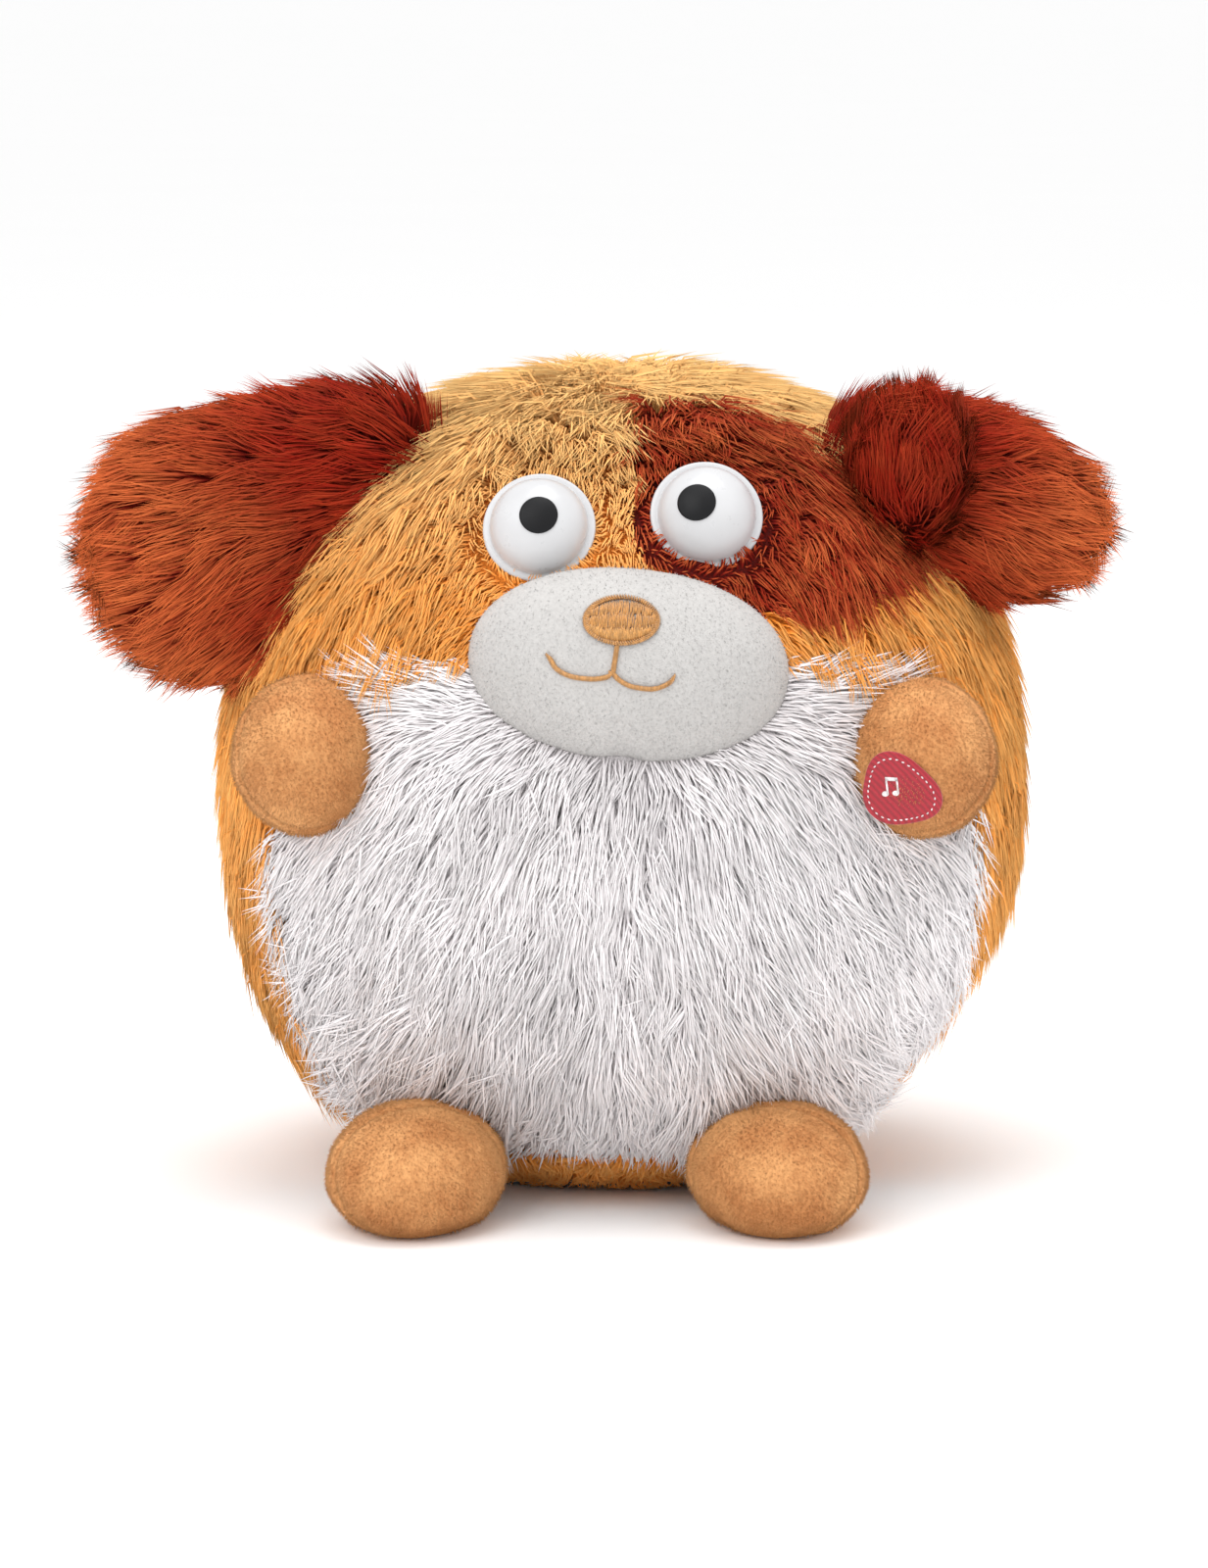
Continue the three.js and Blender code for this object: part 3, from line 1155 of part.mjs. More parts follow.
function switchBody() {
  const low = TUB_FLOOR + FIT_GAP;
  return block(SWITCH_X - 2.4, SWITCH_X + 2.2, -8, 8, low + 2, low + 7);
}

function switchKnob() {
  const half = SWITCH_KNOB_LENGTH / 2;
  const rest = -SWITCH_TRAVEL / 2;
  const low = 0.4;
  const halfWidth = SWITCH_KNOB_WIDTH / 2;
  const nub = block(SWITCH_X - halfWidth, SWITCH_X + halfWidth, rest - half, rest + half,
    low, TUB_FLOOR + SWITCH_KNOB_TONGUE);
  const grooves = [-1, 0, 1].map((i) => (
    block(SWITCH_X - 2, SWITCH_X + 2, rest + i * 1.2 - 0.25, rest + i * 1.2 + 0.25, low - 1, low + 0.4)
  ));
  return cut(nub, ...grooves);
}

const MOTOR_ROUTE = [
  vector(COMPOUND_X, MOTOR_FRONT_Y + MOTOR_LENGTH + 2.6, MOTOR_Z),
  vector(COMPOUND_X, MOTOR_FRONT_Y + MOTOR_LENGTH + 8, MOTOR_Z - 1),
  vector(COMPOUND_X, MOTOR_FRONT_Y + MOTOR_LENGTH + 9, MOTOR_Z - 14),
  vector(COMPOUND_X, BOARD_Y + BOARD_THICKNESS + 6, BOARD_TOP_Z - 6),
  vector(COMPOUND_X, BOARD_Y + BOARD_THICKNESS + FIT_GAP, BOARD_TOP_Z - 8),
];
const SPEAKER_ROUTE = [
  vector(MAGNET_RADIUS + 2.5, COVER_FRONT_Y + COVER_WALL + SPEAKER_DEPTH + 1.2, SPEAKER_Z),
  vector(MAGNET_RADIUS + 3, COVER_FRONT_Y + COVER_WALL + SPEAKER_DEPTH + 8, SPEAKER_Z - 4),
  vector(MAGNET_RADIUS + 2, BOARD_Y - 6, SPEAKER_Z - 8),
  vector(MAGNET_RADIUS + 2, BOARD_Y - FIT_GAP, SPEAKER_Z - 8),
];
const BATTERY_ROUTE = [
  vector(BAY_HALF_LENGTH + BAY_WALL + 2.2, 20, BAY_TOP_Z - 6),
  vector(BAY_HALF_LENGTH + BAY_WALL + 2, 20, BAY_TOP_Z + 4),
  vector(26, 20, TUB_HEIGHT + 6),
  vector(22, BOARD_Y + BOARD_THICKNESS + 6, BOARD_BOTTOM_Z + 6),
  vector(22, BOARD_Y + BOARD_THICKNESS + FIT_GAP, BOARD_BOTTOM_Z + 7),
];

// ---------------------------------------------------------------- soft pieces
const skinEnvelope = bodyForm(SEAM_GAP);
const eyeRooms = [eyeRoom(EYES.left), eyeRoom(EYES.right)];
const earSlits = [leverSweep(SIDE_LEFT), leverSweep(SIDE_RIGHT)];
const pawChannel = leadRoom(PAW_ROUTE, PAW_STEPS);
const halfSeam = SEAM_GAP / 2;

function skinPanels() {
  const baseRoom = block(-TUB_HALF_WIDTH - FIT_GAP, TUB_HALF_WIDTH + FIT_GAP,
    -TUB_HALF_DEPTH - FIT_GAP, TUB_HALF_DEPTH + FIT_GAP, -OVERRUN, TUB_HEIGHT);
  const layer = cut(bodyForm(0), bodyForm(-PANEL_THICKNESS));
  const skin = cut(layer, ...eyeRooms, ...earSlits, pawChannel, baseRoom);
  const low = skin.intersect(block(-FAR, FAR, -FAR, FAR, -FAR, UNDERSIDE_SEAM_Z - halfSeam));
  const high = skin.intersect(block(-FAR, FAR, -FAR, FAR, UNDERSIDE_SEAM_Z + halfSeam, FAR));
  const front = high.intersect(block(-FAR, FAR, -FAR, SIDE_SEAM_Y - halfSeam, -FAR, FAR));
  const back = high.intersect(block(-FAR, FAR, SIDE_SEAM_Y + halfSeam, FAR, -FAR, FAR));
  const through = (outline) => plate(outline, -FAR, 0);
  return {
    head: cut(front, through(bellyOutline(halfSeam)), through(patchOutline(halfSeam))),
    belly: front.intersect(through(bellyOutline(-halfSeam))),
    patch: front.intersect(through(patchOutline(-halfSeam))),
    backLeft: back.intersect(block(-FAR, -halfSeam, -FAR, FAR, -FAR, FAR)),
    backRight: back.intersect(block(halfSeam, FAR, -FAR, FAR, -FAR, FAR)),
    underside: low,
  };
}

// The filling has a hollow for the unit, the gear plates and all that moves between them
function filling() {
  const room = HOLLOW_ROOM;
  const unitRoom = join(
    block(-TUB_HALF_WIDTH - room, TUB_HALF_WIDTH + room, -TUB_HALF_DEPTH - room, TUB_HALF_DEPTH + room,
      -OVERRUN, COVER_BOTTOM_Z + TAB_THICKNESS + 2 * room + SCREW_HEAD_HEIGHT),
    block(-COVER_HALF_WIDTH - room, COVER_HALF_WIDTH + room, COVER_FRONT_Y - room, COVER_BACK_Y + room,
      0, COVER_TOP_Z + room),
  );
  const endX = EAR_PIVOT_X + HUB_RADIUS + 2 * room;
  const halfHeight = EAR_GEAR_RADIUS + PLATE_MARGIN + room;
  const topZ = EAR_PIVOT_Z + halfHeight;
  const lowZ = EAR_PIVOT_Z - halfHeight;
  const stemX = COVER_HALF_WIDTH + room;
  const frontY = PLATE_FRONT_FRONT_Y - SCREW_HEAD_HEIGHT - room;
  const gearRoom = join(
    block(-endX, endX, frontY, PLATE_BACK_REAR_Y + room, lowZ, topZ),
    block(-stemX - STEM_ROOM, stemX, frontY, PLATE_BACK_REAR_Y + room,
      MOTOR_Z - STEM_DROP - room, lowZ + OVERRUN),
  );
  const fibre = bodyForm(-PANEL_THICKNESS - SEAM_GAP);
  const whole = cut(fibre, unitRoom, gearRoom, ...eyeRooms, ...earSlits, pawChannel);
  return {
    front: whole.intersect(block(-FAR, FAR, -FAR, EAR_Y - halfSeam, -FAR, FAR)),
    back: whole.intersect(block(-FAR, FAR, EAR_Y + halfSeam, FAR, -FAR, FAR)),
  };
}

// The muzzle's own form, grown by a skin of thread
function muzzleForm(grow) {
  const halves = [MUZZLE_HALF_WIDTH + grow, MUZZLE_HALF_DEPTH + grow, MUZZLE_HALF_HEIGHT + grow];
  return pillow(halves, [0, MUZZLE_ROLL, 0], [MUZZLE_X, MUZZLE_Y, MUZZLE_Z], 24, 14);
}

// A line of thread or a patch of it, drawn in front view and laid on the muzzle
function stitched(outline) {
  const thread = cut(muzzleForm(FIT_GAP + THREAD_HEIGHT), muzzleForm(FIT_GAP));
  return thread.intersect(plate(outline, -FAR, MUZZLE_Y));
}

function noseOutline() {
  return roundOutline((angle) => new THREE.Vector2(
    NOSE_X + NOSE_HALF_WIDTH * Math.cos(angle),
    NOSE_Z + NOSE_HALF_HEIGHT * Math.sin(angle) - MUZZLE_ROLL * NOSE_HALF_WIDTH * Math.cos(angle),
  ), 28);
}

// Two shallow arcs that meet under the line from the nose
function mouthLineZ(t) {
  const dip = Math.abs(Math.sin(Math.PI * t)) ** 0.8;
  return SMILE_Z - SMILE_DROP * dip - MUZZLE_ROLL * t * SMILE_HALF_WIDTH * 1.3;
}

function mouthOutline() {
  const half = MOUTH_LINE / 2;
  const stemTop = NOSE_Z - NOSE_HALF_HEIGHT - FIT_GAP;
  const steps = 10;
  const upper = [];
  const lower = [];
  for (let i = -steps; i <= steps; i += 1) {
    const t = i / steps;
    const x = NOSE_X - 2 + t * SMILE_HALF_WIDTH;
    const z = mouthLineZ(t * 0.85) - SMILE_DROP * 0.35 * (1 - t * t);
    const stemX = x - i * half * MOUTH_STEM_SHARE;
    if (Math.abs(i) > 1) upper.push([x, z + half]);
    if (i === -1) upper.push([stemX, z + half], [stemX, stemTop]);
    if (i === 1) upper.push([stemX, stemTop], [stemX, z + half]);
    lower.unshift([x, z - half]);
  }
  const outline = new THREE.Shape();
  outline.setFromPoints([...upper, ...lower].map(([x, z]) => new THREE.Vector2(x, z)));
  return outline;
}

function arm(side, x) {
  const halves = [ARM_HALF_WIDTH, ARM_HALF_LENGTH, ARM_HALF_HEIGHT];
  const form = pillow(halves, [0, 0, side * ARM_SPLAY], armPlace(x).toArray());
  return cut(form, skinEnvelope);
}

function foot(side, x) {
  const halves = [FOOT_HALF_WIDTH, FOOT_HALF_LENGTH, FOOT_HALF_HEIGHT];
  const form = pillow(halves, [0, 0, side * FOOT_SPLAY], [x, FOOT_Y, FOOT_Z]);
  return cut(form.intersect(block(-FAR, FAR, -FAR, FAR, 0, FAR)), skinEnvelope);
}

// ---------------------------------------------------------------- the toy
const finishes = {
  goldenPlush: { color: 0xdf9a4c, roughness: 0.95, metalness: 0 },
  brownPlush: { color: 0x8f3a18, roughness: 0.95, metalness: 0 },
  whitePlush: { color: 0xe6e2e4, roughness: 0.95, metalness: 0 },
  goldenVelvet: { color: 0xdca35d, roughness: 0.9, metalness: 0 },
  whiteVelvet: { color: 0xe9e8e8, roughness: 0.9, metalness: 0 },
  fibre: { color: 0xf2f1ec, roughness: 1, metalness: 0 },
  thread: { color: 0xc08a45, roughness: 0.6, metalness: 0 },
  redSatin: { color: 0xc4142c, roughness: 0.5, metalness: 0 },
  whitePlastic: { color: 0xf2f2f0, roughness: 0.25, metalness: 0 },
  blackPlastic: { color: 0x1c1c1e, roughness: 0.3, metalness: 0 },
  greyPlastic: { color: 0x6c7076, roughness: 0.5, metalness: 0 },
  gearPlastic: { color: 0xe9e4d4, roughness: 0.45, metalness: 0 },
  steel: { color: 0xb4b7ba, roughness: 0.35, metalness: 1 },
  board: { color: 0x1f6b3a, roughness: 0.55, metalness: 0 },
  cellWrap: { color: 0x2f5f9e, roughness: 0.4, metalness: 0.2 },
  paperCone: { color: 0x2a2a2c, roughness: 0.9, metalness: 0 },
  leadSheath: { color: 0xb5282c, roughness: 0.5, metalness: 0 },
};

const toy = new THREE.Group();

function addPiece(name, body, finish) {
  const mesh = new THREE.Mesh(geometryOf(body), new THREE.MeshStandardMaterial(finishes[finish]));
  mesh.name = name;
  toy.add(mesh);
}

function addSkin() {
  const panels = skinPanels();
  addPiece('plush_head_panel', panels.head, 'goldenPlush');
  addPiece('plush_belly_panel', panels.belly, 'whitePlush');
  addPiece('plush_eye_patch', panels.patch, 'brownPlush');
  addPiece('plush_back_panel_left', panels.backLeft, 'goldenPlush');
  addPiece('plush_back_panel_right', panels.backRight, 'goldenPlush');
  addPiece('plush_underside', panels.underside, 'goldenPlush');
  const fibre = filling();
  addPiece('filling_front', fibre.front, 'fibre');
  addPiece('filling_back', fibre.back, 'fibre');
}

function addFace() {
  addPiece('muzzle_plush', cut(muzzleForm(0), skinEnvelope, ...eyeRooms), 'whiteVelvet');
  addPiece('nose_embroidery', stitched(noseOutline()), 'thread');
  addPiece('mouth_embroidery', stitched(mouthOutline()), 'thread');
  for (const [name, eye] of Object.entries(EYES)) {
    addPiece(`eye_${name}_dome`, eyeDome(eye), 'whitePlastic');
    addPiece(`eye_${name}_pupil`, eyePupil(eye), 'blackPlastic');
    addPiece(`eye_${name}_washer`, eyeWasher(eye), 'whitePlastic');
  }
}

function addLimbs() {
  addPiece('arm_left_plush', arm(SIDE_LEFT, ARM_LEFT_X), 'goldenVelvet');
  addPiece('arm_right_plush', cut(arm(SIDE_RIGHT, ARM_RIGHT_X), pressRoom(), pawChannel), 'goldenVelvet');
  addPiece('paw_switch_body', pressPuck(), 'blackPlastic');
  addPiece('paw_switch_cap', pressCap(), 'whitePlastic');
  addPiece('paw_badge', pressBadge(), 'redSatin');
  addPiece('foot_left_plush', foot(SIDE_LEFT, FOOT_LEFT_X), 'goldenVelvet');
  addPiece('foot_right_plush', foot(SIDE_RIGHT, FOOT_RIGHT_X), 'goldenVelvet');
}

function addEars() {
  addPiece('ear_left_plush', earLeftPlush(), 'brownPlush');
  addPiece('ear_right_plush', earRightPlush(), 'brownPlush');
  addPiece('ear_lever_left', earLever(SIDE_LEFT), 'gearPlastic');
  addPiece('ear_lever_right', earLever(SIDE_RIGHT), 'gearPlastic');
  addPiece('idler_gear_left', idlerGear(SIDE_LEFT), 'gearPlastic');
  addPiece('idler_gear_right', idlerGear(SIDE_RIGHT), 'gearPlastic');
  addPiece('compound_gear', compoundGear(), 'gearPlastic');
  addPiece('motor_pinion', motorPinion(), 'steel');
  addPiece('motor_can', motorCan(), 'steel');
  addPiece('gear_plate_back', gearPlateBack(), 'greyPlastic');
  addPiece('gear_plate_front', gearPlateFront(), 'greyPlastic');
  addPiece('gear_plate_screw_left', gearPlateScrew(POSTS[1]), 'steel');
  addPiece('gear_plate_screw_right', gearPlateScrew(POSTS[2]), 'steel');
}

function addUnit() {
  addPiece('base_tub', baseTub(), 'greyPlastic');
  addPiece('unit_cover', unitCover(), 'greyPlastic');
  addPiece('case_screw_left', caseScrew(SIDE_LEFT), 'steel');
  addPiece('case_screw_right', caseScrew(SIDE_RIGHT), 'steel');
  addPiece('battery_door', batteryDoor(), 'greyPlastic');
  addPiece('battery_door_screw', doorScrew(), 'steel');
  CELL_NAMES.forEach((name, index) => addPiece(name, cell(index), 'cellWrap'));
  addPiece('contact_minus_end', join(contactPlate(-1, 0, 0), contactSpring(0)), 'steel');
  addPiece('contact_link_front', join(contactPlate(1, 0, 1), contactSpring(1)), 'steel');
  addPiece('contact_link_rear', join(contactPlate(-1, 1, 2), contactSpring(2)), 'steel');
  addPiece('contact_plus_end', contactPlate(1, 2, 2), 'steel');
  addPiece('speaker_frame', speakerFrame(), 'steel');
  addPiece('speaker_cone', speakerCone(), 'paperCone');
  addPiece('speaker_magnet', speakerMagnet(), 'steel');
  addPiece('circuit_board', circuitBoard(), 'board');
  addPiece('power_switch_body', switchBody(), 'blackPlastic');
  addPiece('power_switch_knob', switchKnob(), 'blackPlastic');
  addPiece('lead_paw', tube(LEAD_RADIUS, PAW_ROUTE, PAW_STEPS), 'leadSheath');
  addPiece('lead_motor', tube(LEAD_RADIUS, MOTOR_ROUTE, 14), 'leadSheath');
  addPiece('lead_speaker', tube(LEAD_RADIUS, SPEAKER_ROUTE, 12), 'leadSheath');
  addPiece('lead_battery', tube(LEAD_RADIUS, BATTERY_ROUTE, 14), 'leadSheath');
}

addSkin();
addFace();
addLimbs();
addEars();
addUnit();

export default toy;
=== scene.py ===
"""A round plush dog with a talking unit inside, flapping ears and a press badge in one paw."""

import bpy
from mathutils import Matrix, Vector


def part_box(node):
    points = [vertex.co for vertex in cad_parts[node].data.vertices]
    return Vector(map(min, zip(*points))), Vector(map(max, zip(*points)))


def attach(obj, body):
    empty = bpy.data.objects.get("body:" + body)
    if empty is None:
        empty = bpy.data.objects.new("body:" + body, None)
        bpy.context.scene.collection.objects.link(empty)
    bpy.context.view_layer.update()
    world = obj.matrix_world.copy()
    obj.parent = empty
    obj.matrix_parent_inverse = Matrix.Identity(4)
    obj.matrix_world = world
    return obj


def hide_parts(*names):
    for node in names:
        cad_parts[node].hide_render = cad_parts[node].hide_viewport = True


bl_info = {
    "name": "Interactive plush pet",
    "version": (1, 0, 0),
    "blender": (4, 5, 0),
    "location": "3D View > Sidebar > Plush Pet",
    "description": "Makes the pile, face, limbs and ears of a plush dog round its packed frame",
    "category": "Add Mesh",
}

import math

import bmesh
import bpy
import numpy as np
from mathutils import Matrix, Vector, kdtree, noise

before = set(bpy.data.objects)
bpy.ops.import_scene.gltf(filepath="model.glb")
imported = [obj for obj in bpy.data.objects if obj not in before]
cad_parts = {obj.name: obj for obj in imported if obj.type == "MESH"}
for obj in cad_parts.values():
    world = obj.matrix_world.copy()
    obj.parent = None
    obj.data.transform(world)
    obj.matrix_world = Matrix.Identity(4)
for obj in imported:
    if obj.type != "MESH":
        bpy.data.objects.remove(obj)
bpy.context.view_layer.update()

MM = 0.001

# The body form, in millimetres: a squared ball with its middle at BODY_MIDDLE_Z
BODY_HALVES = (107.0, 98.0)
BODY_MIDDLE_Z = 109.0
BODY_RISE = 111.0
BODY_DROP = 115.0
BODY_SQUARENESS = 2.3
BODY_SLOPE = 0.12
BODY_FLOOR_Z = 1.5
SIDE_SEAM_Y = 6.0
UNDER_SEAM_Z = 17.0

# The belly panel and the eye patch in front view
BELLY_X, BELLY_Z = 1.0, 88.0
BELLY_HALF_WIDTH, BELLY_RISE, BELLY_DROP = 91.0, 66.0, 78.0
PATCH_X, PATCH_Z = 35.0, 189.0
PATCH_HALVES = (38.0, 21.0)
PATCH_TILT = 0.42

# The unit's window in the underside
UNIT_HALF_WIDTH, UNIT_HALF_DEPTH = 43.2, 34.2
UNIT_WINDOW_TOP = 30.0
BACKING_INSET, BACKING_THICKNESS = 0.6, 1.2

# Ear outlines in front view, from the root round the tip, and the folded lobe
EAR_LEFT_OUTLINE = (
    (-56, 190), (-58, 214), (-82, 219), (-112, 213), (-134, 204), (-142, 184),
    (-137, 164), (-119, 149), (-92, 150), (-70, 158),
)
EAR_RIGHT_OUTLINE = (
    (56, 196), (64, 213), (84, 216), (102, 212), (118, 203), (126, 190),
    (121, 176), (106, 171), (88, 171), (70, 174),
)
EAR_LOBE_OUTLINE = ((66, 196), (68, 212), (78, 219), (88, 214), (89, 198), (80, 184))
EAR_MIDDLE_Y, EAR_HALF_THICKNESS = -36.0, 12.0
LOBE_MIDDLE_Y, LOBE_HALF_THICKNESS = -51.0, 8.0
# Where each is sewn, which its pile is brushed away from
EAR_LEFT_SEWN, EAR_RIGHT_SEWN, LOBE_SEWN = (-50.0, -36.0, 197.0), (52.0, -36.0, 196.0), (78.0, -40.0, 184.0)
LOBE_PILE = 0.85
RIGHT_EAR_SHARES = (0.68, 0.32)

# Arms and feet
SIDES = (("left", -1), ("right", 1))
ARM_HALVES = (20.5, 30.0, 21.5)
FOOT_HALVES = (24.0, 35.0, 18.5)
LIMB_TURN = 0.14
ARM_X = {"left": -85.0, "right": 80.0}
ARM_Z = 127.0
ARM_STANDOFF = 7.0
FOOT_X = {"left": -56.0, "right": 42.0}
FOOT_Y, FOOT_Z = -84.0, 14.5
LIMB_FLOOR_Z = 0.4
ARM_NAP_TUFTS, FOOT_NAP_TUFTS = 13000, 15000
# The seam's facing, its place and width as shares of the limb, and how deep it draws in
SEAM_FACING = (-0.3, -0.92, 0.22)
SEAM_PLACE, SEAM_WIDTH, SEAM_DEPTH = 0.3, 0.05, 0.07
RIPPLE, RIPPLE_SCALE = 0.025, 3.1

# The muzzle, and the dart sewn below it
MUZZLE_X, MUZZLE_Z, MUZZLE_INSET = 1.5, 153.0, 4.0
MUZZLE_HALVES = (43.0, 24.0, 26.0)
MUZZLE_SQUARENESS = (0.93, 0.95)
MUZZLE_ROLL = 0.09
MUZZLE_NAP_TUFTS = 16000
DART_WIDTH, DART_INSET, DART_RISE = 0.1, 1.1, 0.8

# Eyes: white domes on a flange and a stem, and the pupils
EYE_X = {"left": -22.5, "right": 22.5}
EYE_Z = {"left": 188.5, "right": 191.5}
EYE_STANDOFF = 1.5
EYE_LIFT, EYE_SPLAY = 0.42, 0.1
EYE_LOOK = {"left": 0.1, "right": -0.42}
EYE_FLANGE_RADIUS, EYE_FLANGE_THICKNESS = 15.3, 1.4
EYE_DOME_RADIUS, EYE_DOME_HEIGHT = 13.4, 10.5
EYE_STEM_RADIUS, EYE_STEM_LENGTH = 2.5, 13.0
PUPIL_RADIUS, PUPIL_THICKNESS = 5.1, 0.3

# Stitches: the nose, then the mouth's three lines in front view
THREAD_STEPS = (0.0, 0.25, 0.5, 0.75, 1.0)
THREAD_ARCH = np.array((-0.25, 0.35, 0.55, 0.35, -0.25))
NOSE_X, NOSE_Z = -0.5, 167.5
NOSE_HALVES = (9.7, 5.4)
NOSE_EDGE = 0.6
NOSE_STITCHES, NOSE_EDGE_STITCHES = 44, 84
SMILE = ((-19.5, 157.9), (-17.6, 155.0), (-14.0, 153.1), (-8.6, 152.4), (-4.6, 152.9), (-2.7, 153.9))
SMILE_RIGHT = ((-2.7, 153.9), (-0.6, 151.9), (2.6, 150.4), (7.8, 149.8), (11.6, 151.0), (13.7, 153.0))
PHILTRUM = ((-1.5, 161.6), (-2.0, 158.0), (-2.7, 153.9))
MOUTH_SPACING, MOUTH_REACH, MOUTH_SLANT = 0.55, 1.2, 0.55

# The press badge
BADGE_RADIUS, BADGE_THICKNESS = 11.0, 1.5
BADGE_YAW = BADGE_DIP = 0.38
BADGE_CORNER = math.radians(112)
BADGE_LOBES = 0.09
BADGE_EDGE = 0.55
BADGE_STITCHES, BADGE_STITCH_PLACE = 34, 0.84

# Pile: the steps along a tuft, how it is combed, and the most triangles in one piece
TUFT_STEPS = (0.0, 0.5, 1.0)
NAP_STEPS = (0.0, 1.0)
TUFT_TRIANGLES = 10
STRIP_TRIANGLES = 195000
BODY_COMB = {"jitter": 0.2, "clump_spacing": 4.2, "clumping": 0.34}
EAR_COMB = {"jitter": 0.2, "clump_spacing": 5.2, "clumping": 0.46}
BODY_SOFTNESS, EAR_SOFTNESS, NAP_SOFTNESS = 0.88, 0.78, 0.85
ROOT_SINK, EAR_ROOT_SINK, NAP_ROOT_SINK = 0.9, 0.4, 0.25

# The stage: each light's place in metres, its size and its power
LIGHTS = (
    ("key_light", (-0.9, -1.3, 1.5), 1.1, 11),
    ("fill_light", (1.4, -1.2, 0.9), 1.6, 3),
    ("top_light", (0.1, -0.1, 1.9), 1.2, 15),
)
LIGHTS_AIM = (0, 0, 0.1)
CAMERA_AIM = (-0.0051, 0, 0.1085)
FLOOR_HALF_SIZE = 60000

HEAD, BELLY, PATCH, BACK_LEFT, BACK_RIGHT, UNDERSIDE = range(6)
PANELS = {
    HEAD: ("head_pile", "plush_head_panel", "golden_plush"),
    BELLY: ("belly_pile", "plush_belly_panel", "white_plush"),
    PATCH: ("eye_patch_pile", "plush_eye_patch", "brown_plush"),
    BACK_LEFT: ("back_left_pile", "plush_back_panel_left", "golden_plush"),
    BACK_RIGHT: ("back_right_pile", "plush_back_panel_right", "golden_plush"),
    UNDERSIDE: ("underside_pile", "plush_underside", "golden_plush"),
}


# ---------------------------------------------------------------- settings
def colour(name, description, default):
    return bpy.props.FloatVectorProperty(
        name=name, description=description, default=default, subtype="COLOR", size=3, min=0, max=1
    )


def length(name, description, default):
    return bpy.props.FloatProperty(
        name=name, description=description, default=default * MM, unit="LENGTH", subtype="DISTANCE"
    )


class PetPileSettings(bpy.types.PropertyGroup):
    """The long pile on the body and ears"""

    body_length: length("Body pile", "Length of the pile on the body", 15.5)
    belly_length: length("Belly pile", "Length of the pile on the belly", 16.5)
    ear_length: length("Ear pile", "Length of the pile on the ears", 16.5)
    tuft_radius: length("Tuft radius", "Half the thickness of one tuft at its root", 0.34)
    body_tufts: bpy.props.IntProperty(
        name="Body tufts", description="How many tufts the body is sown with", default=150000, min=1000
    )
    ear_tufts: bpy.props.IntProperty(
        name="Ear tufts", description="How many tufts each ear is sown with", default=15000, min=500
    )
    golden_root: colour("Golden root", "Golden pile near the cloth", (0.96, 0.285, 0.033))
    golden_tip: colour("Golden tip", "Golden pile at its ends", (1.0, 0.51, 0.155))
    # The crown's ends are drawn lighter than the rest of the golden pile: painted light on top of the head
    crown_highlight_tip: colour("Crown tip", "Golden pile at its ends on top of the head", (1.0, 0.65, 0.26))
    brown_root: colour("Brown root", "Brown pile near the cloth", (0.17, 0.007, 0.003))
    brown_deep: colour("Deep brown tip", "Ends of the pile where the brown is deepest", (0.43, 0.009, 0.003))
    brown_tip: colour("Brown tip", "Brown pile at its ends", (0.80, 0.20, 0.055))
    white_root: colour("White root", "White pile near the cloth", (0.93, 0.88, 0.89))
    white_tip: colour("White tip", "White pile at its ends", (0.94, 0.91, 0.915))


class PetFaceSettings(bpy.types.PropertyGroup):
    """The muzzle, nose, mouth and eyes"""

    muzzle_colour: colour("Muzzle", "Short pile of the muzzle", (0.54, 0.525, 0.51))
    thread_colour: colour("Thread", "Satin stitches of the nose", (0.57, 0.275, 0.074))
    outline_colour: colour("Outline thread", "Edge of the nose and the mouth line", (0.50, 0.24, 0.07))
    nap_length: length("Muzzle nap", "Length of the short pile on the muzzle", 1.0)


class PetLimbSettings(bpy.types.PropertyGroup):
    """The arms and feet"""

    # Velvet light and dark are lit and shaded copies of one colour: painted sheen and shade of the nap
    velvet_light: colour("Velvet light", "Nap that faces the light", (0.76, 0.38, 0.15))
    velvet_shaded: colour("Velvet dark", "Nap brushed the other way", (0.48, 0.185, 0.06))
    nap_length: length("Limb nap", "Length of the short pile on the arms and feet", 1.6)


class PetBadgeSettings(bpy.types.PropertyGroup):
    """The press badge in the paw"""

    satin_colour: colour("Satin", "Woven face of the badge", (0.34, 0.004, 0.017))
    print_colour: colour("Print", "Note and stitches on the badge", (0.88, 0.80, 0.80))


class PetStageSettings(bpy.types.PropertyGroup):
    """The floor, lights and camera"""

    camera_height: bpy.props.FloatProperty(
        name="Camera elevation", description="How far above level the camera stands",
        default=math.radians(8), subtype="ANGLE",
    )
    camera_distance: length("Camera distance", "From the camera to the middle of the toy", 1700)
    view_height: length("View height", "Height of what the camera takes in", 444.8)
    floor_colour: colour("Floor", "Floor and backdrop", (0.985, 0.985, 0.985))
    sky_strength: bpy.props.FloatProperty(
        name="Sky strength", description="Brightness of the even white surroundings", default=1.0, min=0
    )


SETTINGS = {
    "pet_pile": PetPileSettings,
    "pet_face": PetFaceSettings,
    "pet_limbs": PetLimbSettings,
    "pet_badge": PetBadgeSettings,
    "pet_stage": PetStageSettings,
}


# ---------------------------------------------------------------- forms
def body_slope(x, z):
    """The stuffing sits higher on the right, so the form is drawn in a little below it."""
    depth = np.minimum(0, z - BODY_MIDDLE_Z) / BODY_DROP
    return np.where(x > 0, 1 - BODY_SLOPE * np.sin(math.pi * np.minimum(depth**2, 1)), 1)


def squared_ball(x, y, z):
    """1 on the body form before its slope, at a place from its middle."""
    halves = (*BODY_HALVES, np.where(z > 0, BODY_RISE, BODY_DROP))
    return sum(np.abs(along / half) ** BODY_SQUARENESS for along, half in zip((x, y, z), halves))


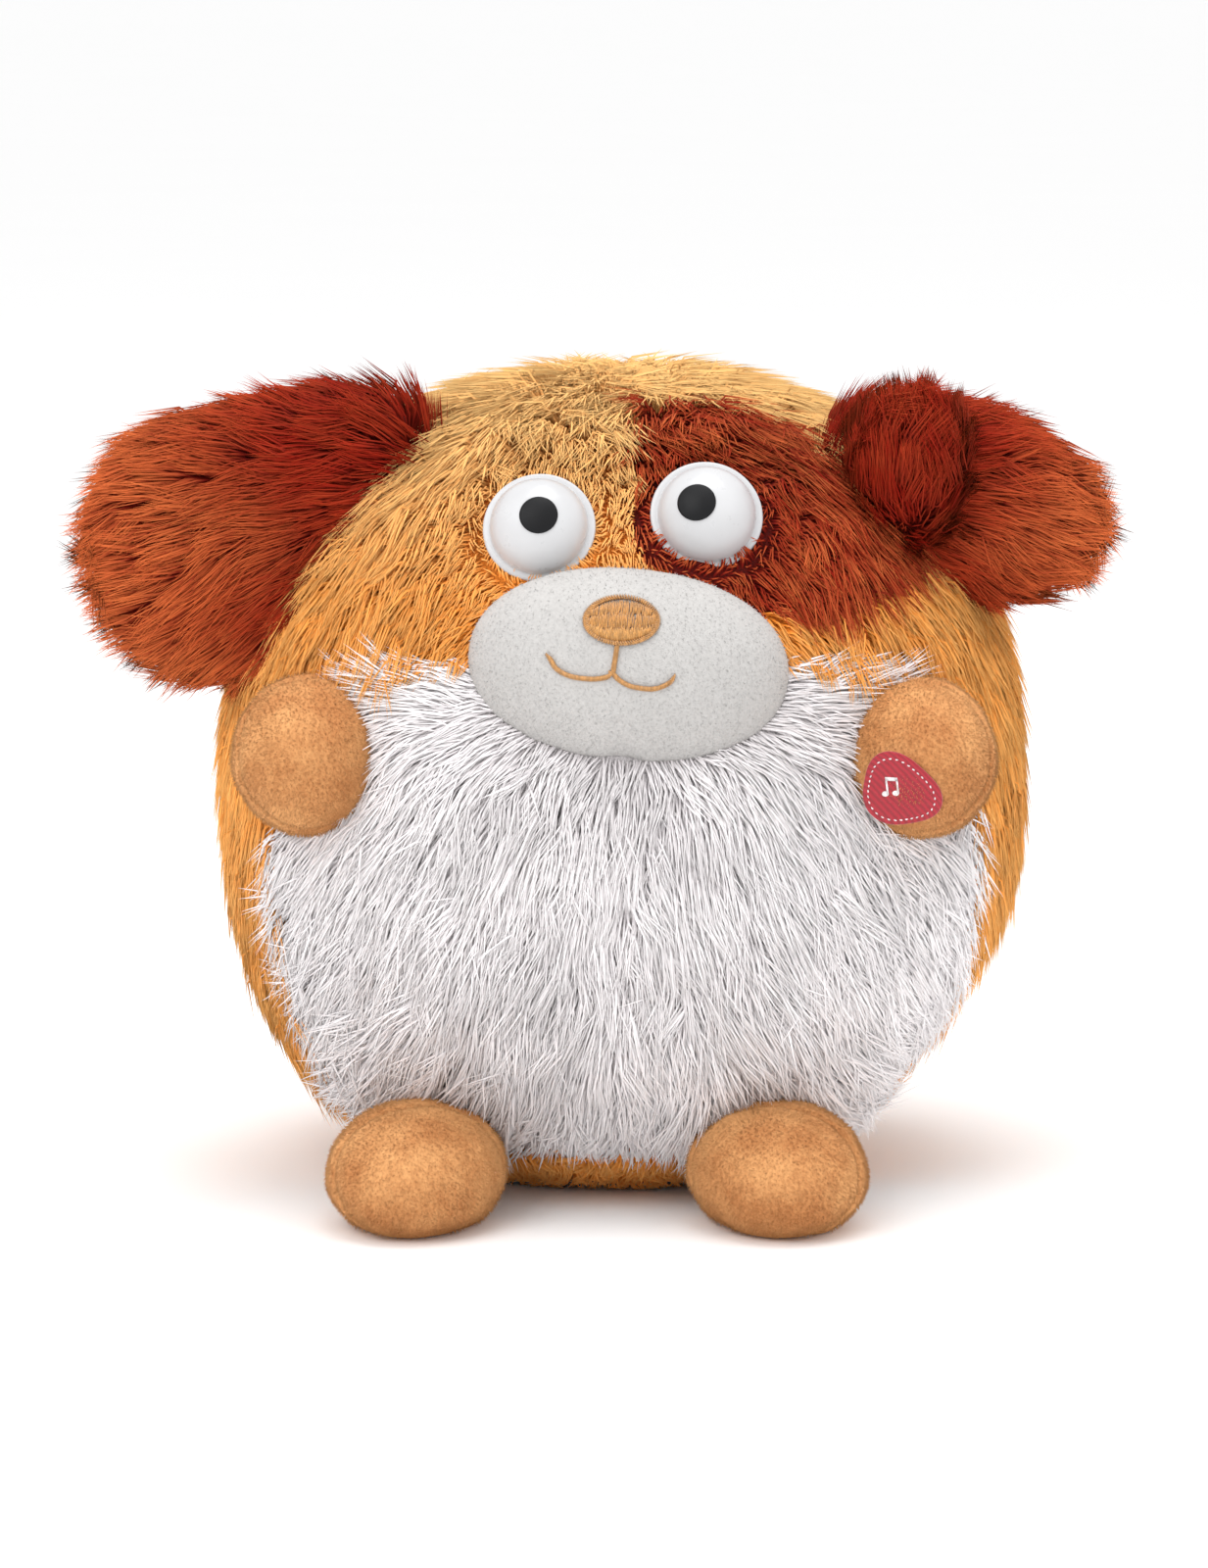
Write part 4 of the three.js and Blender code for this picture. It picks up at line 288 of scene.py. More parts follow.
def body_value(points):
    """1 on the body form, less inside it."""
    x, y, z = points.T
    return squared_ball(x / body_slope(x, z), y, z - BODY_MIDDLE_Z)


def on_body(directions, grow=0.0):
    """The body form along directions from its middle, flattened where it stands."""
    middle = np.array((0, 0, BODY_MIDDLE_Z))
    reach = squared_ball(*directions.T) ** (-1 / BODY_SQUARENESS)
    points = middle + directions * (reach + grow / np.linalg.norm(directions, axis=1))[:, None]
    points[:, 0] *= body_slope(points[:, 0], points[:, 2])
    points[:, 2] = np.maximum(points[:, 2], BODY_FLOOR_Z - grow)
    return points


def body_normals(points):
    """Which way the body form faces at each point."""
    halves = np.broadcast_to((*BODY_HALVES, 0.0), points.shape).copy()
    halves[:, 2] = np.where(points[:, 2] > BODY_MIDDLE_Z, BODY_RISE, BODY_DROP)
    scaled = (points - np.array((0, 0, BODY_MIDDLE_Z))) / halves
    slopes = np.sign(scaled) * np.abs(scaled) ** (BODY_SQUARENESS - 1) / halves
    return unit(slopes)


def unit(vectors):
    return vectors / np.maximum(np.linalg.norm(vectors, axis=-1, keepdims=True), 1e-9)


def smooth_step(values, low, high):
    share = np.clip((values - low) / (high - low), 0, 1)
    return share * share * (3 - 2 * share)


def belly_value(x, z):
    up = z > BELLY_Z
    height = np.where(up, BELLY_RISE, BELLY_DROP)
    squareness = np.where(up, 4.0, 2.4)
    across, rise = np.abs((x - BELLY_X) / BELLY_HALF_WIDTH), np.abs((z - BELLY_Z) / height)
    return across**squareness + rise**squareness


def patch_value(x, z):
    dx, dz = x - PATCH_X, z - PATCH_Z
    along = (dx * math.cos(PATCH_TILT) - dz * math.sin(PATCH_TILT)) / PATCH_HALVES[0]
    across = (dx * math.sin(PATCH_TILT) + dz * math.cos(PATCH_TILT)) / PATCH_HALVES[1]
    angle = np.arctan2(across, along)
    lobes = 1 + 0.09 * np.sin(3 * angle + 0.8) + 0.05 * np.sin(5 * angle)
    return np.hypot(along, across) / lobes


def panel_of(points):
    x, y, z = points.T
    back = np.where(x < 0, BACK_LEFT, BACK_RIGHT)
    front = np.where(
        patch_value(x, z) < 1, PATCH, np.where(belly_value(x, z) < 1, BELLY, HEAD)
    )
    return np.where(z < UNDER_SEAM_Z, UNDERSIDE, np.where(y > SIDE_SEAM_Y, back, front))


def spread_on_sphere(count, seed):
    """Even directions, each moved a little so that no rows show."""
    rng = np.random.default_rng(seed)
    index = np.arange(count) + 0.5
    rise = 1 - 2 * index / count
    turn = math.pi * (1 + math.sqrt(5)) * index
    flat = np.sqrt(1 - rise * rise)
    directions = np.stack((flat * np.cos(turn), flat * np.sin(turn), rise), axis=1)
    return unit(directions + rng.normal(0, 0.6 / math.sqrt(count), directions.shape))


# ---------------------------------------------------------------- tufts
def tuft_shape(steps):
    """One closed three-sided tapered tuft: rim offsets, step of each vertex, faces."""
    shape = bmesh.new()
    bmesh.ops.create_cone(
        shape, cap_ends=True, segments=3, radius1=1, radius2=0, depth=1,
        matrix=Matrix.Translation((0, 0, 0.5)),
    )
    bmesh.ops.remove_doubles(shape, verts=shape.verts, dist=1e-4)
    for step in steps[1:-1]:
        bmesh.ops.bisect_plane(
            shape, geom=shape.verts[:] + shape.edges[:] + shape.faces[:],
            plane_co=(0, 0, step), plane_no=(0, 0, 1),
        )
    shape.verts.index_update()
    offsets, places = [], []
    for vertex in shape.verts:
        place = min(range(len(steps)), key=lambda i: abs(steps[i] - vertex.co.z))
        flat = Vector((vertex.co.x, vertex.co.y))
        offsets.append(tuple(flat.normalized()) if flat.length > 1e-5 else (0.0, 0.0))
        places.append(place)
    faces = [[v.index for v in face.verts] for face in shape.faces]
    shape.free()
    return np.array(offsets), np.array(places), faces


def sow(name, paths, radii, tone, steps, facing=None, softness=0.0):
    """A mesh object of tufts along paths (tuft, step, xyz), in millimetres.

    facing is the cloth's normal at each root: the softness of the pile is how far its shading follows it."""
    offsets, places, faces = tuft_shape(steps)
    count, corners = len(paths), len(offsets)
    run = unit(paths[:, -1] - paths[:, 0])
    side = unit(np.cross(run, np.array((0.31, 0.45, 0.83))))
    lift = unit(np.cross(run, side))
    around = side[:, None] * offsets[None, :, 0, None] + lift[:, None] * offsets[None, :, 1, None]
    points = paths[:, places] + around * radii[:, places][:, :, None]
    points[:, :, 2] = np.maximum(points[:, :, 2], 0.25)
    mesh = bpy.data.meshes.new(name)
    mesh.vertices.add(count * corners)
    mesh.vertices.foreach_set("co", (points * MM).astype(np.float32).ravel())
    flat = np.concatenate(faces)
    starts = np.concatenate(([0], np.cumsum([len(face) for face in faces])[:-1]))
    loops = (flat[None, :] + (np.arange(count) * corners)[:, None]).ravel()
    mesh.loops.add(len(loops))
    mesh.loops.foreach_set("vertex_index", loops.astype(np.int32))
    mesh.polygons.add(count * len(faces))
    begin = (starts[None, :] + (np.arange(count) * len(flat))[:, None]).ravel()
    mesh.polygons.foreach_set("loop_start", begin.astype(np.int32))
    mesh.polygons.foreach_set("use_smooth", np.ones(count * len(faces), bool))
    mesh.update(calc_edges=True)
    share = np.array(steps)[places]
    along = mesh.attributes.new("along", "FLOAT", "POINT")
    along.data.foreach_set("value", np.tile(share, count).astype(np.float32))
    shade = mesh.attributes.new("tone", "FLOAT", "POINT")
    shade.data.foreach_set("value", np.repeat(tone, corners).astype(np.float32))
    # Each tuft gets its own small cell of the unwrapped square, root at the bottom
    cells = math.ceil(math.sqrt(count))
    index = np.arange(count)
    u = (offsets[:, 0] * 0.36 + 0.5)[None, :] + (index % cells)[:, None]
    v = (share * 0.76 + 0.12 + offsets[:, 1] * 0.04)[None, :] + (index // cells)[:, None]
    layout = mesh.uv_layers.new(name="OFBake")
    square = np.stack((u, v), axis=-1).reshape(-1, 2)[loops] / cells
    layout.data.foreach_set("uv", square.astype(np.float32).ravel())
    if facing is not None:
        soft = unit(facing)[:, None] * softness + around * (1 - softness)
        mesh.normals_split_custom_set_from_vertices(unit(soft).reshape(-1, 3).astype(np.float32))
    piece = bpy.data.objects.new(name, mesh)
    bpy.context.collection.objects.link(piece)
    return piece


def comb(roots, normals, flow, lengths, lift, seed, jitter, clump_spacing, clumping):
    """Paths of tufts that rise from the cloth, lie over along the flow and gather in clumps."""
    rng = np.random.default_rng(seed)
    count = len(roots)
    cells = np.floor(roots / clump_spacing).astype(np.int64)
    _, first = np.unique(cells, axis=0, return_index=True)
    tree = kdtree.KDTree(len(first))
    for i, root in enumerate(first):
        tree.insert(roots[root], i)
    tree.balance()
    nearest = np.array([tree.find(root)[1] for root in roots])
    leader = first[nearest]
    # Unseeded, this noise would change from run to run
    noise.seed_set(seed)
    wave = np.array([noise.noise_vector(Vector(roots[i]) / 17.0) for i in first])
    sway = wave * jitter * 1.6 + rng.normal(0, jitter, (len(first), 3))
    clump_length = 1 + rng.normal(0, 0.08, len(first))
    own_sway = rng.normal(0, jitter * 0.9, (count, 3))
    own_length = rng.uniform(0.76, 1.12, count)

    def run(points, facing, direction, reach):
        tangent = direction - facing * np.sum(direction * facing, axis=1)[:, None]
        tangent = unit(tangent)
        steps = np.array(TUFT_STEPS)[None, :, None]
        rise = lift[:, None, None] * (1.35 * steps - 0.78 * steps**2)
        out = 0.34 * steps + 0.62 * steps**2
        return points[:, None] + reach[:, None, None] * (facing[:, None] * rise + tangent[:, None] * out)

    grown = clump_length[nearest]
    own = run(roots, normals, unit(flow) + sway[nearest] + own_sway, lengths * own_length * grown)
    led = run(roots[leader], normals[leader], unit(flow[leader]) + sway[nearest], lengths[leader] * grown)
    share = clumping * np.array((0.0, 0.3, 1.0))[None, :, None]
    paths = own + share * (led - own)
    tone = 0.5 * rng.random(len(first))[nearest] + 0.5 * rng.random(count)
    # Each clump stands proud in its middle, so its shading turns away from there
    facing = unit(normals + (roots - roots[leader]) * 0.1 + wave[nearest] * 0.35)
    return paths, tone, facing


def pile_radii(count, radius, seed):
    rng = np.random.default_rng(seed)
    thickness = radius * rng.uniform(0.7, 1.2, count)
    return thickness[:, None] * np.array((1.0, 0.8, 0.0))[None, :]


def finish_piece(piece, material, body="toy", stands_for=()):
    piece.data.materials.clear()
    piece.data.materials.append(material)
    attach(piece, body)
    if stands_for:
        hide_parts(*stands_for)
    return piece


def object_of(name, shape, smooth=True):
    """The bmesh, in millimetres, as an object in metres."""
    bmesh.ops.scale(shape, vec=(MM, MM, MM), verts=shape.verts)
    mesh = bpy.data.meshes.new(name)
    shape.to_mesh(mesh)
    shape.free()
    mesh.polygons.foreach_set("use_smooth", np.full(len(mesh.polygons), smooth))
    piece = bpy.data.objects.new(name, mesh)
    bpy.context.collection.objects.link(piece)
    return piece


def ball(subdivisions, place):
    """A closed ball of even triangles whose points are placed by a function of all of them."""
    shape = bmesh.new()
    bmesh.ops.create_icosphere(shape, subdivisions=subdivisions, radius=1)
    points = place(np.array([v.co for v in shape.verts]))
    for vertex, point in zip(shape.verts, points):
        vertex.co = point
    return shape


def vectors_of(items, key, kind=np.float32):
    """Each item's three values, as rows."""
    values = np.zeros(len(items) * 3, kind)
    items.foreach_get(key, values)
    return values.reshape(-1, 3)


def surface_roots(piece, count, seed, keep):
    """Even root points and normals over a finished mesh, in millimetres."""
    rng = np.random.default_rng(seed)
    mesh = piece.data
    mesh.calc_loop_triangles()
    corners = vectors_of(mesh.vertices, "co").astype(float) / MM
    facing = vectors_of(mesh.vertices, "normal").astype(float)
    triangles = vectors_of(mesh.loop_triangles, "vertices", np.int32)
    a, b, c = (corners[triangles[:, i]] for i in range(3))
    area = np.linalg.norm(np.cross(b - a, c - a), axis=1) / 2
    total = np.cumsum(area)
    picks = (np.arange(count) + rng.random(count)) / count * total[-1]
    chosen = np.minimum(np.searchsorted(total, picks), len(area) - 1)
    s, t = rng.random(count), rng.random(count)
    over = s + t > 1
    s[over], t[over] = 1 - s[over], 1 - t[over]
    w = np.stack((1 - s - t, s, t), axis=1)
    roots = sum(corners[triangles[chosen, i]] * w[:, i, None] for i in range(3))
    normals = unit(sum(facing[triangles[chosen, i]] * w[:, i, None] for i in range(3)))
    kept = keep(roots)
    return roots[kept], normals[kept]


def nap(name, piece, count, reach, radius, flow, seed, keep):
    """Short pile over a finished mesh."""
    roots, normals = surface_roots(piece, count, seed, keep)
    rng = np.random.default_rng(seed + 1)
    lean = unit(normals * 0.9 + np.array(flow) * 0.75 + rng.normal(0, 0.28, roots.shape))
    lengths = reach * rng.uniform(0.6, 1.1, len(roots))
    # Roots sit just under the cloth's surface
    start = roots - normals * NAP_ROOT_SINK
    paths = np.stack((start, start + lean * lengths[:, None]), axis=1)
    radii = np.stack((np.full(len(roots), radius), np.zeros(len(roots))), axis=1)
    return sow(name, paths, radii, rng.random(len(roots)), NAP_STEPS, normals, NAP_SOFTNESS)


# ---------------------------------------------------------------- finishes
class Finish:
    """A node material, built one node at a time."""

    def __init__(self, name, roughness=0.6, specular=0.4, sheen=0.0, coat=0.0, metallic=0.0):
        self.material = bpy.data.materials.new(name)
        self.material.use_nodes = True
        self.nodes = self.material.node_tree.nodes
        self.links = self.material.node_tree.links
        self.shader = self.nodes["Principled BSDF"]
        self.shader.inputs["Roughness"].default_value = roughness
        self.shader.inputs["Specular IOR Level"].default_value = specular
        self.shader.inputs["Sheen Weight"].default_value = sheen
        self.shader.inputs["Sheen Roughness"].default_value = 0.45
        self.shader.inputs["Coat Weight"].default_value = coat
        self.shader.inputs["Metallic"].default_value = metallic

    def node(self, kind, **values):
        made = self.nodes.new(kind)
        for key, value in values.items():
            setattr(made, key, value)
        return made

    def join(self, source, target):
        self.links.new(source, target)

    def attribute(self, name):
        return self.node("ShaderNodeAttribute", attribute_name=name).outputs["Fac"]

    def place(self, scale=1.0):
        spot = self.node("ShaderNodeTexCoord").outputs["Object"]
        mapping = self.node("ShaderNodeMapping")
        if isinstance(scale, (int, float)):
            scale = (scale, scale, scale)
        mapping.inputs["Scale"].default_value = scale
        self.join(spot, mapping.inputs["Vector"])
        return mapping.outputs["Vector"]

    def noise(self, scale, detail=4.0, rough=0.55, stretch=1.0):
        made = self.node("ShaderNodeTexNoise")
        made.inputs["Scale"].default_value = scale
        made.inputs["Detail"].default_value = detail
        made.inputs["Roughness"].default_value = rough
        self.join(self.place(stretch), made.inputs["Vector"])
        return made.outputs["Fac"]

    def ramp(self, source, stops):
        made = self.node("ShaderNodeValToRGB")
        band = made.color_ramp.elements
        while len(band) < len(stops):
            band.new(0.5)
        for element, (position, tint) in zip(band, stops):
            element.position = position
            element.color = (*tint[:3], 1)
        self.join(source, made.inputs["Fac"])
        return made.outputs["Color"]

    def mix(self, share, first, second, kind="MIX"):
        made = self.node("ShaderNodeMix", data_type="RGBA", blend_type=kind)
        for socket, value in ((made.inputs[0], share), (made.inputs[6], first), (made.inputs[7], second)):
            if isinstance(value, bpy.types.NodeSocket):
                self.join(value, socket)
            elif isinstance(value, (int, float)):
                socket.default_value = value
            else:
                socket.default_value = (*value[:3], 1)
        return made.outputs[2]

    def range(self, source, low, high, start=0.0, end=1.0):
        made = self.node("ShaderNodeMapRange")
        made.inputs["From Min"].default_value = start
        made.inputs["From Max"].default_value = end
        made.inputs["To Min"].default_value = low
        made.inputs["To Max"].default_value = high
        self.join(source, made.inputs["Value"])
        return made.outputs["Result"]

    def colour(self, source):
        self.join(source, self.shader.inputs["Base Color"])

    def rough(self, source):
        self.join(source, self.shader.inputs["Roughness"])

    def bump(self, source, strength, distance=0.0004):
        made = self.node("ShaderNodeBump")
        made.inputs["Strength"].default_value = strength
        made.inputs["Distance"].default_value = distance
        self.join(source, made.inputs["Height"])
        self.join(made.outputs["Normal"], self.shader.inputs["Normal"])


def tinted(tint, factor):
    return tuple(min(1.0, channel * factor) for channel in tint)


def pile_finish(name, root, tip, deep=0.85, low=0.9, light=1.12, crown=None, deep_tip=None, sheen=0.3):
    """Pile that is darker at its root, with lighter ends and uneven dye: the darker root is partly the
    pile's own colour and partly painted shade deep between the tufts.

    crown is the colour of the ends on top of the head, drawn lighter there as painted light; the deep tip
    colour is that of the ends in the deepest tufts."""
    made = Finish(name, roughness=0.75, specular=0.1, sheen=sheen)
    made.shader.inputs["Sheen Tint"].default_value = (*tip, 1)
    along = made.attribute("along")
    tone = made.attribute("tone")
    base = made.ramp(along, pile_stops(root, tip, deep))
    # Painted light: from 0.168 to 0.212 m up, on top of the head, the ends and roots are drawn lighter
    if crown:
        height = made.node("ShaderNodeSeparateXYZ")
        made.join(made.place(), height.inputs[0])
        high = made.range(height.outputs["Z"], 0, 1, 0.168, 0.212)
        crown_highlight_root = tuple((a + b) / 2 for a, b in zip(root, crown))
        base = made.mix(high, base, made.ramp(along, pile_stops(crown_highlight_root, crown, deep)))
    if deep_tip:
        base = made.mix(tone, made.ramp(along, pile_stops(root, deep_tip, deep)), base)
    patches = made.range(made.noise(38.0, 2.0), 0.92, 1.08, 0.35, 0.65)
    shade = made.node("ShaderNodeMath", operation="MULTIPLY")
    made.join(patches, shade.inputs[0])
    made.join(made.range(tone, low, light), shade.inputs[1])
    hue = made.node("ShaderNodeHueSaturation")
    made.join(shade.outputs[0], hue.inputs["Value"])
    made.join(base, hue.inputs["Color"])
    made.colour(hue.outputs["Color"])
    return made.material


def pile_stops(root, tip, deep):
    middle = tuple((a + b) / 2 for a, b in zip(root, tip))
    # Partly the pile's own colour, partly painted shade between the tufts: darker towards the root, and deep
    # darkens the very root further
    return [(0.0, tinted(root, deep)), (0.3, root), (0.65, middle), (1.0, tip)]


def shaded_backing_finish(name, root):
    """The knitted backing between the roots of the pile, drawn at 0.35 to 0.75 of the root colour as painted
    shade deep between the tufts.
    """
    made = Finish(name, roughness=0.9, specular=0.15, sheen=0.2)
    knit = made.noise(1400.0, 3.0)
    # Painted shade: the backing is darker than the pile's root, so the gaps between tufts look deep
    made.colour(made.mix(made.range(knit, 0, 1, 0.35, 0.65), tinted(root, 0.35), tinted(root, 0.75)))
    made.bump(knit, 0.6, 0.0006)
    return made.material


def velvet_finish(name, light, dark, sheen=0.6):
    """Short velvet with lighter and darker areas: lit and shaded copies of its colour, mixed in broad and
    fine patches as painted sheen and shade of the nap.
    """
    made = Finish(name, roughness=0.78, specular=0.2, sheen=sheen)
    made.shader.inputs["Sheen Tint"].default_value = (*tinted(light, 1.25), 1)
    areas = made.range(made.noise(62.0, 5.0, 0.6), 0, 1, 0.38, 0.64)
    fine = made.range(made.noise(900.0, 3.0, 0.6), 0, 1, 0.3, 0.7)
    # Painted sheen and shade: patches of the lit and the shaded colour, then finer mottling of a darker
    # shade and a brighter highlight
    brushed = made.mix(areas, dark, light)
    made.colour(made.mix(0.3, brushed, made.mix(fine, tinted(dark, 0.8), tinted(light, 1.15))))
    made.bump(made.noise(1300.0, 4.0, 0.7), 0.55, 0.0005)
    return made.material


def thread_finish(name, tint):
    """Shiny stitching thread, with painted sheen: lighter and darker streaks along each strand."""
    made = Finish(name, roughness=0.38, specular=0.5, sheen=0.3)
    along = made.noise(1600.0, 2.0, 0.5, (1.0, 1.0, 0.25))
    # Painted sheen: streaks between a shaded (0.72) and a lit (1.22) copy of the thread colour
    made.colour(made.mix(made.range(along, 0, 1, 0.35, 0.65), tinted(tint, 0.72), tinted(tint, 1.22)))
    made.bump(along, 0.35, 0.0002)
    return made.material


def moulded_finish(name, tint, roughness, grain=900.0, bump=0.08, coat=0.0, specular=0.5):
    """Moulded plastic with a fine grain and slight wear."""
    made = Finish(name, roughness=roughness, specular=specular, coat=coat)
    cloud = made.range(made.noise(45.0, 4.0), 0, 1, 0.35, 0.65)
    made.colour(made.mix(cloud, tinted(tint, 0.95), tinted(tint, 1.03)))
    made.rough(made.range(made.noise(220.0, 4.0), roughness * 0.85, roughness * 1.2, 0.3, 0.7))
    made.bump(made.noise(grain, 3.0), bump, 0.0002)
    return made.material


def metal_finish(name, tint, roughness):
    """Plated steel with fine turned marks."""
    made = Finish(name, roughness=roughness, specular=0.5, metallic=1.0)
    marks = made.noise(700.0, 4.0, 0.6, (1.0, 1.0, 8.0))
    made.colour(made.mix(made.range(marks, 0, 1, 0.3, 0.7), tinted(tint, 0.86), tinted(tint, 1.08)))
    made.rough(made.range(marks, roughness * 0.75, roughness * 1.3, 0.3, 0.7))
    made.bump(marks, 0.1, 0.0002)
    return made.material


# ---------------------------------------------------------------- ears as forms
def curve_between(a, b, c, d, t):
    """A smooth curve from b to c that leaves room for its neighbours a and d."""
    return 0.5 * (2 * b + (c - a) * t + (2 * a - 5 * b + 4 * c - d) * t**2 + (3 * b - a - 3 * c + d) * t**3)


def outline_curve(points):
    """A closed smooth curve through a few points: its radius from the middle by angle."""
    spots = np.array(points, float)
    middle = spots.mean(axis=0)
    t = np.linspace(0, 1, 12, endpoint=False)[:, None]
    around = [np.roll(spots, 1 - k, axis=0) for k in range(4)]
    curve = np.vstack([curve_between(a, b, c, d, t) for a, b, c, d in zip(*around)]) - middle
    angles = np.arctan2(curve[:, 1], curve[:, 0])
    order = np.argsort(angles)
    return middle, angles[order], np.hypot(curve[:, 0], curve[:, 1])[order]


def ear_form(outline, middle_y, half_thickness):
    """Places a unit ball's points on a rounded pillow with this outline."""
    middle, angles, radii = outline_curve(outline)

    def place(points):
        angle = np.arctan2(points[:, 2], points[:, 0])
        flat = np.hypot(points[:, 0], points[:, 2])
        reach = np.interp(angle, angles, radii, period=2 * math.pi)
        x = middle[0] + flat * reach * np.cos(angle)
        z = middle[1] + flat * reach * np.sin(angle)
        y = middle_y + half_thickness * np.sign(points[:, 1]) * np.abs(points[:, 1]) ** 0.75
        return np.stack((x, y, z), axis=1)

    return place


def inside_ear(outline, middle_y, half_thickness, points):
    middle, angles, radii = outline_curve(outline)
    dx, dz = points[:, 0] - middle[0], points[:, 2] - middle[1]
    reach = np.interp(np.arctan2(dz, dx), angles, radii, period=2 * math.pi)
    return (np.hypot(dx, dz) / reach) ** 2 + np.abs((points[:, 1] - middle_y) / half_thickness) ** 2 < 1


# ---------------------------------------------------------------- pieces
def limb_value(points, middle, halves, turn):
    """1 on a limb's stuffed form, less inside it."""
    dx, dy, dz = (points - middle).T
    along = dx * math.cos(turn) + dy * math.sin(turn)
    across = -dx * math.sin(turn) + dy * math.cos(turn)
    return (along / halves[0]) ** 2 + (across / halves[1]) ** 2 + (dz / halves[2]) ** 2


def front_y(x, z):
    """How far forward the body form reaches at a place in front view."""
    height = BODY_RISE if z > BODY_MIDDLE_Z else BODY_DROP
    across, rise = abs(x / BODY_HALVES[0]), abs((z - BODY_MIDDLE_Z) / height)
    left = 1 - across**BODY_SQUARENESS - rise**BODY_SQUARENESS
    return -BODY_HALVES[1] * left ** (1 / BODY_SQUARENESS)


ARMS = {side: (x, front_y(x, ARM_Z) - ARM_STANDOFF, ARM_Z) for side, x in ARM_X.items()}
FEET = {side: (x, FOOT_Y, FOOT_Z) for side, x in FOOT_X.items()}
EYES = {side: (x, front_y(x, EYE_Z[side]) - EYE_STANDOFF, EYE_Z[side]) for side, x in EYE_X.items()}
MUZZLE_MIDDLE = (MUZZLE_X, front_y(MUZZLE_X, MUZZLE_Z) + MUZZLE_INSET, MUZZLE_Z)


def eye_direction(side, turn=0.0):
    across = (EYE_SPLAY if side == "right" else -EYE_SPLAY) + turn
    return Vector((
        math.sin(across) * math.cos(EYE_LIFT), -math.cos(across) * math.cos(EYE_LIFT), math.sin(EYE_LIFT)
    ))


def in_muzzle(x, z):
    """A place in front view along and across the rolled muzzle, as shares of its halves."""
    dx, dz = x - MUZZLE_MIDDLE[0], z - MUZZLE_MIDDLE[2]
    along = dx * math.cos(MUZZLE_ROLL) - dz * math.sin(MUZZLE_ROLL)
    across = dx * math.sin(MUZZLE_ROLL) + dz * math.cos(MUZZLE_ROLL)
    return along / MUZZLE_HALVES[0], across / MUZZLE_HALVES[2]


def muzzle_share(x, z):
    """1 on the muzzle's edge in front view, less inside it."""
    return np.hypot(*in_muzzle(x, z))


def bare_places(points):
    """True where another piece is sewn on, so that no pile grows there."""
    x, y, z = points.T
    bare = (y < 0) & (muzzle_share(x, z) < 0.93)
    for middle in EYES.values():
        bare |= np.linalg.norm(points - middle, axis=1) < EYE_FLANGE_RADIUS - 0.3
    for side, turn in SIDES:
        bare |= limb_value(points, np.array(ARMS[side]), ARM_HALVES, turn * LIMB_TURN) < 0.9
        bare |= limb_value(points, np.array(FEET[side]), FOOT_HALVES, turn * LIMB_TURN) < 0.9
    for outline in (EAR_LEFT_OUTLINE, EAR_RIGHT_OUTLINE):
        bare |= inside_ear(outline, EAR_MIDDLE_Y, EAR_HALF_THICKNESS, points)
    bare |= z < BODY_FLOOR_Z + 2.2
    return bare


def body_flow(points, panels):
    """Which way the pile is brushed: outward from the crown and the belly's middle, and down."""
    x, y, z = points.T
    flow = np.zeros(points.shape)
    flow[:, 0] = x / 100 * 0.5
    flow[:, 1] = y / BODY_HALVES[1] * 0.35
    flow[:, 2] = -0.85
    belly = panels == BELLY
    flow[belly, 0] = (x[belly] - BELLY_X) / BELLY_HALF_WIDTH * 0.85
    flow[belly, 1] = -0.1
    flow[belly, 2] = -0.8 + 1.15 * smooth_step(z[belly], 112, 156)
    # The pile closes over the rims of the eyes, and is brushed away from the muzzle
    for middle in EYES.values():
        away = points - np.array(middle)
        far = np.linalg.norm(away, axis=1)
        near = (1 - smooth_step(far, 19, 30)) * np.where(away[:, 2] > 0, 0.1, 0.25)
        rim = (1 - smooth_step(far, 16, 19.5))[:, None]
        flow = (flow + unit(away) * near[:, None]) * (1 - rim) - unit(away) * 0.8 * rim
    share = muzzle_share(x, z)
    away = np.stack((x - MUZZLE_MIDDLE[0], np.zeros(len(x)), z - MUZZLE_MIDDLE[2]), axis=1)
    near = (1 - smooth_step(share, 0.95, 1.5)) * (y < 0)
    flow += unit(away) * (0.45 * near)[:, None]
    return flow


def body_lengths(points, panels, settings):
    x, y, z = points.T
    lengths = np.where(panels == BELLY, settings.belly_length, settings.body_length) / MM
    for middle in EYES.values():
        far = np.linalg.norm(points - np.array(middle), axis=1)
        lengths = lengths * (0.3 + 0.25 * smooth_step(far, 16, 20) + 0.45 * smooth_step(far, 20, 36))
    near = np.where(y < 0, smooth_step(muzzle_share(x, z), 0.95, 1.45), 1)
    lengths = lengths * (0.5 + 0.5 * near)
    lengths = lengths * (0.35 + 0.65 * smooth_step(z, 6, 34))
    # The belly's pile hangs over the feet and is shorter between them
    low = (1 - smooth_step(z, 30, 62)) * (panels == BELLY)
    over_feet = sum(1 - smooth_step(np.abs(x - foot_x), 18, 34) for foot_x in FOOT_X.values())
    lengths = lengths * (1 + low * (0.55 * over_feet - 0.3))
    return lengths


